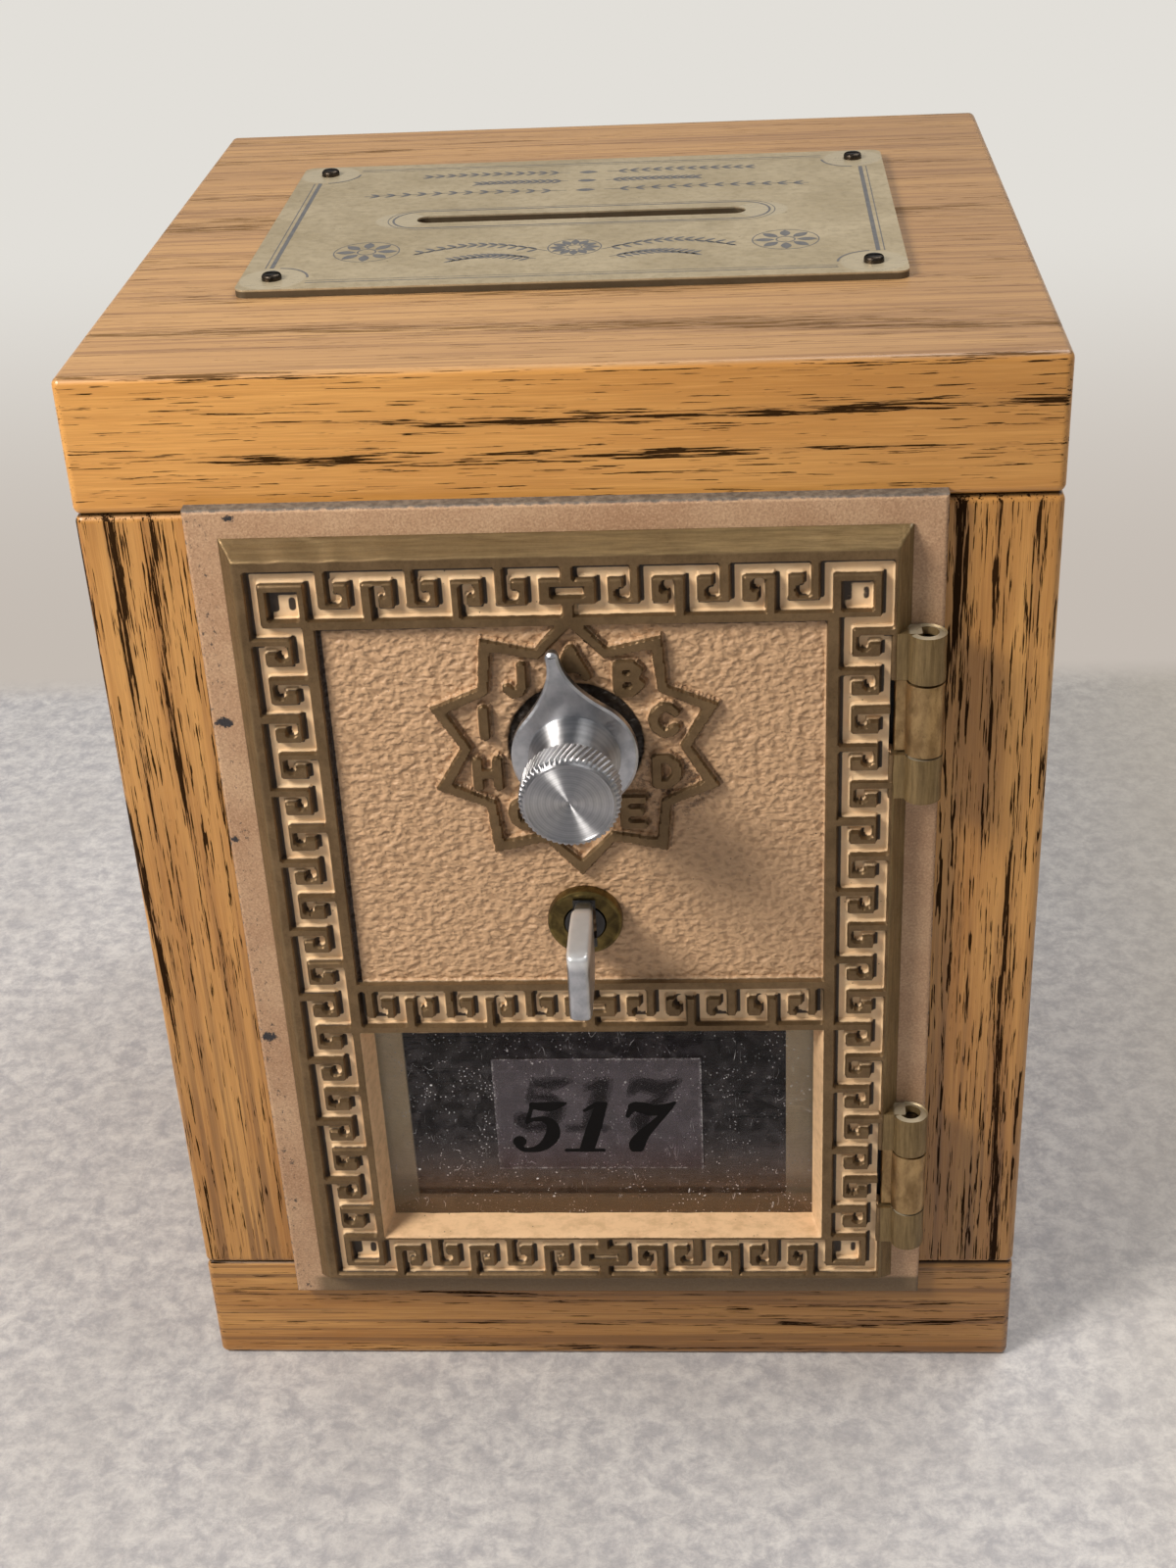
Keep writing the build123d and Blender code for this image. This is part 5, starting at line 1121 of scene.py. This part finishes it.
def knob():
    """The turned knob: a thin lip, a hollow cone of a neck and a head with a slanting knurl."""
    lip = [(KNOB_BACK, 5.5), (7.7, 5.5), (7.95, 5.36)]
    neck = curved([(7.95, 5.36), (8.7, 4.95), (10.0, 4.5), (11.6, 4.15), (13.2, 3.95), (13.9, 3.95)], 4)
    rim = [(14.0, 5.5), (14.08, 5.75), *((a, 5.84) for a in np.linspace(14.2, 17.3, 28))]
    rim += [(17.45, 5.72), (17.6, 5.5), (17.72, 5.32)]
    front = [(17.84, 5.24), (17.97, 5.2), (18.0, 5.12), (17.97, 5.04), (17.88, 4.95)]
    front += [(17.86, 3.4), (17.9, 1.4), (17.86, 0.4), (17.7, 0.12), (17.65, 0.0)]

    def wobble(row, along, angles):
        if not 14.15 < along < 17.65:
            return 0.0
        tooth = np.abs(np.cos(KNURL_RIDGES / 2 * angles - 1.8 * along))
        return min(1.0, (17.8 - along) / 0.4) * 0.26 * (tooth - 0.65)

    return lathe([*lip, *neck, *rim, *front], DIAL, 8 * KNURL_RIDGES, wobble=wobble)


make("knob", *knob(), "dial", turned_aluminium, "bright_aluminium", ["dial_knob"], sharp=40)

POINTER_LEAN = math.radians(9.0)
POINTER_BACK, POINTER_FRONT, POINTER_BEVEL = 6.0, 7.2, 0.3


def bevelled_plate(outline, back, front, bevel):
    """A flat piece from a closed outline in (x, z), its front edge cut at a slope bevel wide."""
    points = np.array(outline)
    n = len(points)
    ahead = np.roll(points, -1, 0) - np.roll(points, 1, 0)
    normal = np.stack([ahead[:, 1], -ahead[:, 0]], 1)
    normal /= np.linalg.norm(normal, axis=1)[:, None]
    area = np.sum(points[:, 0] * np.roll(points[:, 1], -1) - points[:, 1] * np.roll(points[:, 0], -1))
    inner = points - normal * bevel * (1 if area > 0 else -1)
    rings = [(points, back), (points, front - bevel * 0.8), (inner, front)]
    verts = np.concatenate([np.stack([p[:, 0], np.full(n, FRONT - a), p[:, 1]], 1) for p, a in rings])
    return verts, block(3, n)


def pointer_outline():
    """Disc, waist and rounded tip; the flanks between disc and tip are hollow curves."""
    foot = math.radians(43.0)
    radius, tip_reach, tip_radius = 7.55, 13.2, 0.8
    start = np.array((radius * math.sin(foot), radius * math.cos(foot)))
    end = np.array((tip_radius * 0.95, tip_reach + 0.2))
    waist = 2 * np.array((1.75, 9.5)) - 0.5 * (start + end)
    places = np.linspace(0, 1, 14)
    flank = [tuple((1 - t) ** 2 * start + 2 * t * (1 - t) * waist + t * t * end) for t in places]
    tip = [polar(0, tip_reach, tip_radius, a) for a in np.linspace(0.3, math.pi - 0.3, 9)]
    left = [(-x, z) for x, z in flank[::-1]]
    round_disc = np.linspace(-foot, -2 * math.pi + foot, 72)[1:-1]
    disc = [(radius * math.sin(a), radius * math.cos(a)) for a in round_disc]
    c, s = math.cos(POINTER_LEAN), math.sin(POINTER_LEAN)
    return [(DIAL[0] + x * c - z * s, DIAL[1] + x * s + z * c) for x, z in flank + tip + left + disc]


pointer = bevelled_plate(pointer_outline(), POINTER_BACK, POINTER_FRONT, POINTER_BEVEL)
make("pointer", *pointer, "dial", plain_aluminium, "bright_aluminium", ["dial_pointer"], sharp=30)


# ---------------------------------------------------------------- thumb turn
def rounded_ring(half_x, half_z, corner, sides=(3, 14)):
    """Points round a rectangle with rounded corners, the same number whatever its size."""
    corners = []
    for turn, (cx, cz) in enumerate(((1, 1), (-1, 1), (-1, -1), (1, -1))):
        x, z = cx * (half_x - corner), cz * (half_z - corner)
        angles = np.linspace(0, math.pi / 2, 6) + turn * math.pi / 2
        corners.append([polar(x, z, corner, a) for a in angles])
    ring = []
    for turn in range(4):
        ring += corners[turn]
        (x0, z0), (x1, z1) = corners[turn][-1], corners[(turn + 1) % 4][0]
        places = np.linspace(0, 1, sides[turn % 2] + 2)[1:-1]
        ring += [(x0 + (x1 - x0) * t, z0 + (z1 - z0) * t) for t in places]
    return ring


FIN_STATIONS = (  # ahead, half thickness, half height: lower and thinner where it meets the rose
    (5.6, 1.05, 3.3), (6.4, 1.1, 3.45), (7.6, 1.16, 3.6), (8.8, 1.22, 4.1), (9.6, 1.27, 4.65),
    (10.6, 1.32, 4.78), (13.0, 1.36, 4.8), (16.0, 1.38, 4.8), (18.6, 1.38, 4.78), (19.4, 1.3, 4.66),
    (19.8, 1.08, 4.44), (19.95, 0.75, 4.1),
)


def fin():
    """The thumb turn's blade, with a few dents in its faces."""
    rings = [rounded_ring(half, tall, min(0.45, half * 0.6)) for _, half, tall in FIN_STATIONS]
    n = len(rings[0])
    x, z = np.array(rings).reshape(-1, 2).T
    ahead = np.repeat([station[0] for station in FIN_STATIONS], n)
    dents = 0.05 * np.sin(z * 1.9 + ahead * 0.7) * np.sin(ahead * 1.3 + 1.0)
    x = x + np.sign(x) * np.minimum(dents, 0.0)
    return np.stack([THUMB[0] + x, FRONT - ahead, THUMB[1] + z], 1), block(len(rings), n)


shank = cad_copy("latch_handle", lambda x, y, z: FRONT - y < 5.65)
thumb_turn = join([fin(), shank])
make("thumb_turn", *thumb_turn, "handle", plain_aluminium, "bright_aluminium", ["latch_handle"], sharp=50)

ROSE = [(4.0, 4.7), (5.1, 4.7), (5.35, 4.62), (5.5, 4.4), (5.5, 4.2), (5.42, 4.05), (5.42, 2.7)]
ROSE += [(5.3, 2.56), (4.0, 2.56)]
ROSE_SEGMENTS = 96
rose_points, rose_faces = lathe(ROSE, THUMB, ROSE_SEGMENTS)
make("rose", rose_points, rose_faces[: -2 * ROSE_SEGMENTS], "door", rose_brass, "cast_brass", ["handle_rose"])

# ---------------------------------------------------------------- window figures
DECAL_FRONT = 1.1
FIGURE_HEIGHT = (38.8, 47.4)
SLANT = 0.27
# The painted reflection's shift from the figures, and how far its sheets lie from that place
GHOST, GHOST_BLUR = (0.55, 3.8), 0.4
FIGURES = {
    # Foot, and tapered strokes of (x from the foot before slanting, share of the height, width)
    "five": (-8.9, [
        [(-1.6, 0.94, 1.2), (-0.6, 0.92, 1.5), (0.8, 0.91, 1.5), (2.5, 0.98, 0.7)],
        [(-1.75, 0.94, 0.6), (-1.82, 0.60, 0.55)],
        [(-1.8, 0.60, 0.5), (-0.9, 0.66, 0.7), (0.6, 0.65, 1.1), (1.75, 0.53, 1.6), (2.1, 0.34, 2.0),
         (1.5, 0.15, 1.6), (0.2, 0.05, 1.0), (-1.2, 0.05, 0.8), (-2.1, 0.13, 1.0)],
        [(-2.15, 0.21, 1.8), (-2.1, 0.22, 1.8)],
    ]),
    "one": (-1.45, [
        [(-1.95, 0.83, 0.5), (-0.4, 0.96, 0.9)],
        [(0.1, 0.97, 1.5), (0.0, 0.5, 2.0), (-0.1, 0.04, 2.0)],
        [(-2.85, 0.035, 0.55), (2.2, 0.035, 0.55)],
    ]),
    "seven": (5.1, [
        [(-2.45, 0.72, 0.6), (-2.25, 0.84, 1.0), (-1.7, 0.92, 1.4)],
        [(-2.1, 0.90, 1.4), (-0.8, 0.88, 1.9), (0.7, 0.83, 1.9), (2.3, 0.88, 1.3), (3.3, 0.975, 0.5)],
        [(3.0, 0.90, 0.7), (1.7, 0.62, 1.1), (0.5, 0.37, 1.7), (0.0, 0.18, 2.2), (0.05, 0.09, 2.0)],
    ]),
}


def figure_sheet(ahead, shift=(0.0, 0.0), cell=0.11, swell=0.0):
    """The figures as a flat sheet. Cells on an edge are pulled onto it, so the outline is smooth."""
    low, high = FIGURE_HEIGHT
    tall = high - low
    x = np.arange(-13.4, 14.2, cell)
    z = np.arange(low - 1.0, high + 1.0, cell)
    gx, gz = np.meshgrid(x, z)
    distance = np.full(gx.shape, 9.0)
    for foot, strokes in FIGURES.values():
        for line in strokes:
            points = [(foot + u + SLANT * v * tall, low + v * tall, w / 2) for u, v, w in curved(line)]
            for (*start, w0), (*end, w1) in zip(points, points[1:]):
                t, reach = off_line(gx, gz, start, end)
                distance = np.minimum(distance, reach - w0 - t * (w1 - w0))
    distance = np.maximum(distance, np.maximum(low - gz, gz - high)) - swell
    slope_z, slope_x = np.gradient(distance, cell)
    steep = np.maximum(slope_x**2 + slope_z**2, 0.2)
    near = np.abs(distance) < 0.75 * cell
    gx = np.where(near, gx - distance * slope_x / steep, gx)
    gz = np.where(near, gz - distance * slope_z / steep, gz)
    keep = distance < 0.75 * cell
    inside = keep[:-1, :-1] & keep[1:, :-1] & keep[:-1, 1:] & keep[1:, 1:]
    rows, columns = np.nonzero(inside)
    wide = len(x)
    first = rows * wide + columns
    quads = np.stack([first, first + 1, first + wide + 1, first + wide], 1)
    used, where = np.unique(quads, return_inverse=True)
    points = np.stack([gx.ravel() + shift[0], np.full(gx.size, FRONT - ahead), gz.ravel() + shift[1]], 1)
    return points[used], where.reshape(-1, 4).tolist()


make("number_figures", *figure_sheet(DECAL_FRONT + 0.02), "door", black_figures, "decal_film")
# The glass's reflection of the figures is painted as a blurred dark copy: three faint sheets round one place
for n, angle in enumerate(np.linspace(0, 2 * math.pi, 4)[:-1]):
    place = polar(*GHOST, GHOST_BLUR, angle)
    ghost = figure_sheet(DECAL_FRONT + 0.008 + 0.004 * n, place, 0.2, 0.1)
    make(f"figure_ghost_{n + 1}", *ghost, "door", ghost_figures, "decal_film")

# ---------------------------------------------------------------- coin plate
# How far the engraved lines stand over the plate, and the oval round the slot
INK_RISE = 0.012
OVAL_MIDDLE, OVAL_RADIUS = 21.1, 3.9


def ribbon(points, width, closed=False):
    """A thin engraved line on the coin plate along (x, y) points measured from the plate's middle."""
    points = np.array(points, float)
    if closed:
        ahead = np.roll(points, -1, 0) - np.roll(points, 1, 0)
    else:
        ahead = np.gradient(points, axis=0)
    ahead /= np.linalg.norm(ahead, axis=1)[:, None]
    n = len(points)
    half = np.broadcast_to(width, n)[:, None] / 2
    side = np.stack([-ahead[:, 1], ahead[:, 0]], 1) * half
    both = np.concatenate([points - side, points + side])
    return np.column_stack([both + PLATE_MIDDLE, np.full(2 * n, PLATE_TOP + INK_RISE)]), bands(2, n, closed)


def arc(x, y, radius, start, end, count):
    """Points of an arc about (x, y), angles in degrees."""
    return [polar(x, y, radius, a) for a in np.radians(np.linspace(start, end, count))]


def leaf(x, y, angle, length, width):
    """A leaf's outline as a filled sliver, pointing along angle in degrees."""
    t = np.linspace(0, 1, 9)
    points = np.stack(polar(x, y, length * t, math.radians(angle)), 1)
    return ribbon(points, width * np.sin(np.pi * np.clip(t, 0.02, 0.98)) ** 0.8)


def rosette(x, y, radius, petals):
    """Two rings with petals between them."""
    parts = [ribbon(arc(x, y, radius, 0, 360, 40)[:-1], 0.16, True)]
    parts.append(ribbon(arc(x, y, radius * 0.28, 0, 360, 20)[:-1], 0.2, True))
    for n in range(petals):
        angle = 360 * n / petals
        start = arc(x, y, 0.34 * radius, angle, angle, 1)[0]
        parts.append(leaf(*start, angle, 0.6 * radius, 0.32 * radius))
    return parts


def sprig(x, y, length, hand, rise):
    """A curved stem with leaves on both sides."""
    t = np.linspace(0, 1, 14)
    stem = [(x + hand * length * u, y + rise * math.sin(math.pi * u)) for u in t]
    parts = [ribbon(stem, 0.16)]
    for (px, py), u in list(zip(stem, t))[1:-1]:
        lean = 90 - hand * 50
        parts.append(leaf(px, py, lean - hand * 8 * u, 1.7, 0.55))
        parts.append(leaf(px, py, -lean + hand * 8 * u, 1.7, 0.55))
    return parts


def plate_engraving():
    """A border that curls round the screws, an oval round the slot, and bands of leaves and rosettes."""
    (screw_x, screw_y), curl = PLATE_SCREW, PLATE_CURL
    edge_x, edge_y = PLATE_HALF[0] - 3.3, PLATE_HALF[1] - 2.4
    parts = []
    for side in (-1, 1):
        reach = screw_y - curl
        parts.append(ribbon([(side * edge_x, y) for y in np.linspace(-reach, reach, 24)], 0.55))
        parts.append(ribbon([(side * (edge_x + 0.8), y) for y in np.linspace(-reach, reach, 24)], 0.14))
        for rise, width in ((0.0, 0.22), (0.8, 0.12)):
            run = screw_x - curl
            parts.append(ribbon([(x, side * (edge_y - rise)) for x in np.linspace(-run, run, 40)], width))
        for end in (-1, 1):
            start = {(1, 1): 180, (1, -1): 90, (-1, -1): 0, (-1, 1): 270}[(end, side)]
            parts.append(ribbon(arc(end * screw_x, side * screw_y, curl, start + 4, start + 86, 14), 0.3))
    for grow, width in ((0.0, 0.3), (0.7, 0.12)):
        right = arc(OVAL_MIDDLE, 0, OVAL_RADIUS + grow, -90, 90, 20)
        left = arc(-OVAL_MIDDLE, 0, OVAL_RADIUS + grow, 90, 270, 20)
        parts.append(ribbon(right + left, width, True))
    for hand in (-1, 1):
        parts += sprig(hand * 2.6, 21.4, 21, hand, 0.5)
        parts += sprig(hand * 2.6, 17.0, 13, hand, 0.3)
        parts += sprig(hand * 2.6, 12.2, 28, hand, 0.5)
        parts += sprig(hand * 3.4, -15.8, 17, hand, 3.4) + sprig(hand * 4.6, -19.0, 11, hand, 1.8)
        parts += rosette(hand * 26.7, -14.0, 4.2, 8)
    for y in (21.4, 17.0, 12.2):
        parts.append(leaf(-1.3, y, 0, 2.6, 1.3))
    parts += rosette(0, -14.6, 3.4, 12)
    return join(parts)


make("plate_engraving", *plate_engraving(), "box", ink, "engraved_brass")

# ---------------------------------------------------------------- spring
spring_points, spring_faces = cad_copy("bolt_spring", lambda x, y, z: x == x)
spring = make("spring", spring_points, spring_faces, "door", spring_wire, "spring_steel", ["bolt_spring"])
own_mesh(spring)

# ---------------------------------------------------------------- materials of the CAD nodes
by_slot = {
    "oak": oak_upright, "dowel_wood": dowel_wood, "back_panel_wood": oak_back, "dark_screws": dark_screw,
    "engraved_brass": plate_brass, "painted_frame": frame_paint, "cast_brass": rose_brass,
    "window_glass": window_sheet, "decal_film": decal_sheet, "sheet_brass": sheet_brass,
    "lock_brass": lock_brass, "steel_pins": steel, "spring_steel": spring_wire,
    "bright_aluminium": plain_aluminium,
}
by_node = {
    "top_board": oak_level, "bottom_board": oak_level, "glass_retainer": old_sheet,
    "hinge_pin_upper": dark_screw, "hinge_pin_lower": dark_screw,
}
for node, ob in frame["nodes"].items():
    slot = next(sub["material_slot"] for sub in frame["record"]["subparts"] if sub["node"] == node)
    material = by_node.get(node, by_slot[slot])
    if not ob.material_slots:
        ob.data.materials.append(material)
    for place in ob.material_slots:
        place.material = material

# ---------------------------------------------------------------- world and floor
world = bpy.data.worlds.new("room")
bpy.context.scene.world = world
world.use_nodes = True
background = world.node_tree.nodes["Background"]
background.inputs["Color"].default_value = srgb(214, 217, 222)
background.inputs["Strength"].default_value = 0.34


def ground_material():
    """Pale floor, with painted warm light to the right of the box, that turns into a pale wall some way behind
    the box; metal and glass show the wall too.
    """
    s = Shade("ground", Roughness=0.75)
    felt = s.noise(0.28, 9.0, 0.76, distort=0.2)
    floor = s.coats(
        s.mix(s.step(felt, 0.34, 0.68), (166, 164, 168), (212, 209, 207)),
        (s.step(s.noise(0.035, 6.0, 0.6), 0.4, 0.7, 0.0, 0.3), (172, 168, 166)),
        (s.step(s.noise(2.0, 4.0, 0.7), 0.45, 0.8, 0.0, 0.2), (150, 148, 148)),
        # painted warm light: the floor grows lighter and warmer to the right
        (s.step(s.x, 55.0, 130.0, 0.0, 0.6), (212, 200, 180)),
    )
    s.use(Base_Color=floor, Normal=s.bump(felt, 0.4))
    wall_tone = s.mix(s.step(s.y, 170.0, 520.0), (196, 187, 178), (226, 223, 217))
    wall = s.fill(s.node("Emission"), wall_tone)[0]
    path = s.node("LightPath").outputs
    rays = s.most(path["Is Camera Ray"], path["Is Glossy Ray"], path["Is Transmission Ray"])
    s.put(s.surface, s.blend(s.step(s.y, 148.0, 164.0) * rays, s.bsdf.outputs[0], wall))
    return s.mat


ground_mesh = bpy.data.meshes.new("ground")
ground_mesh.from_pydata([(-4, -2, 0), (4, -2, 0), (4, 6, 0), (-4, 6, 0)], [], [(0, 1, 2, 3)])
ground_mesh.materials.append(ground_material())
ground = add_object("ground", ground_mesh)

bpy.context.view_layer.update()
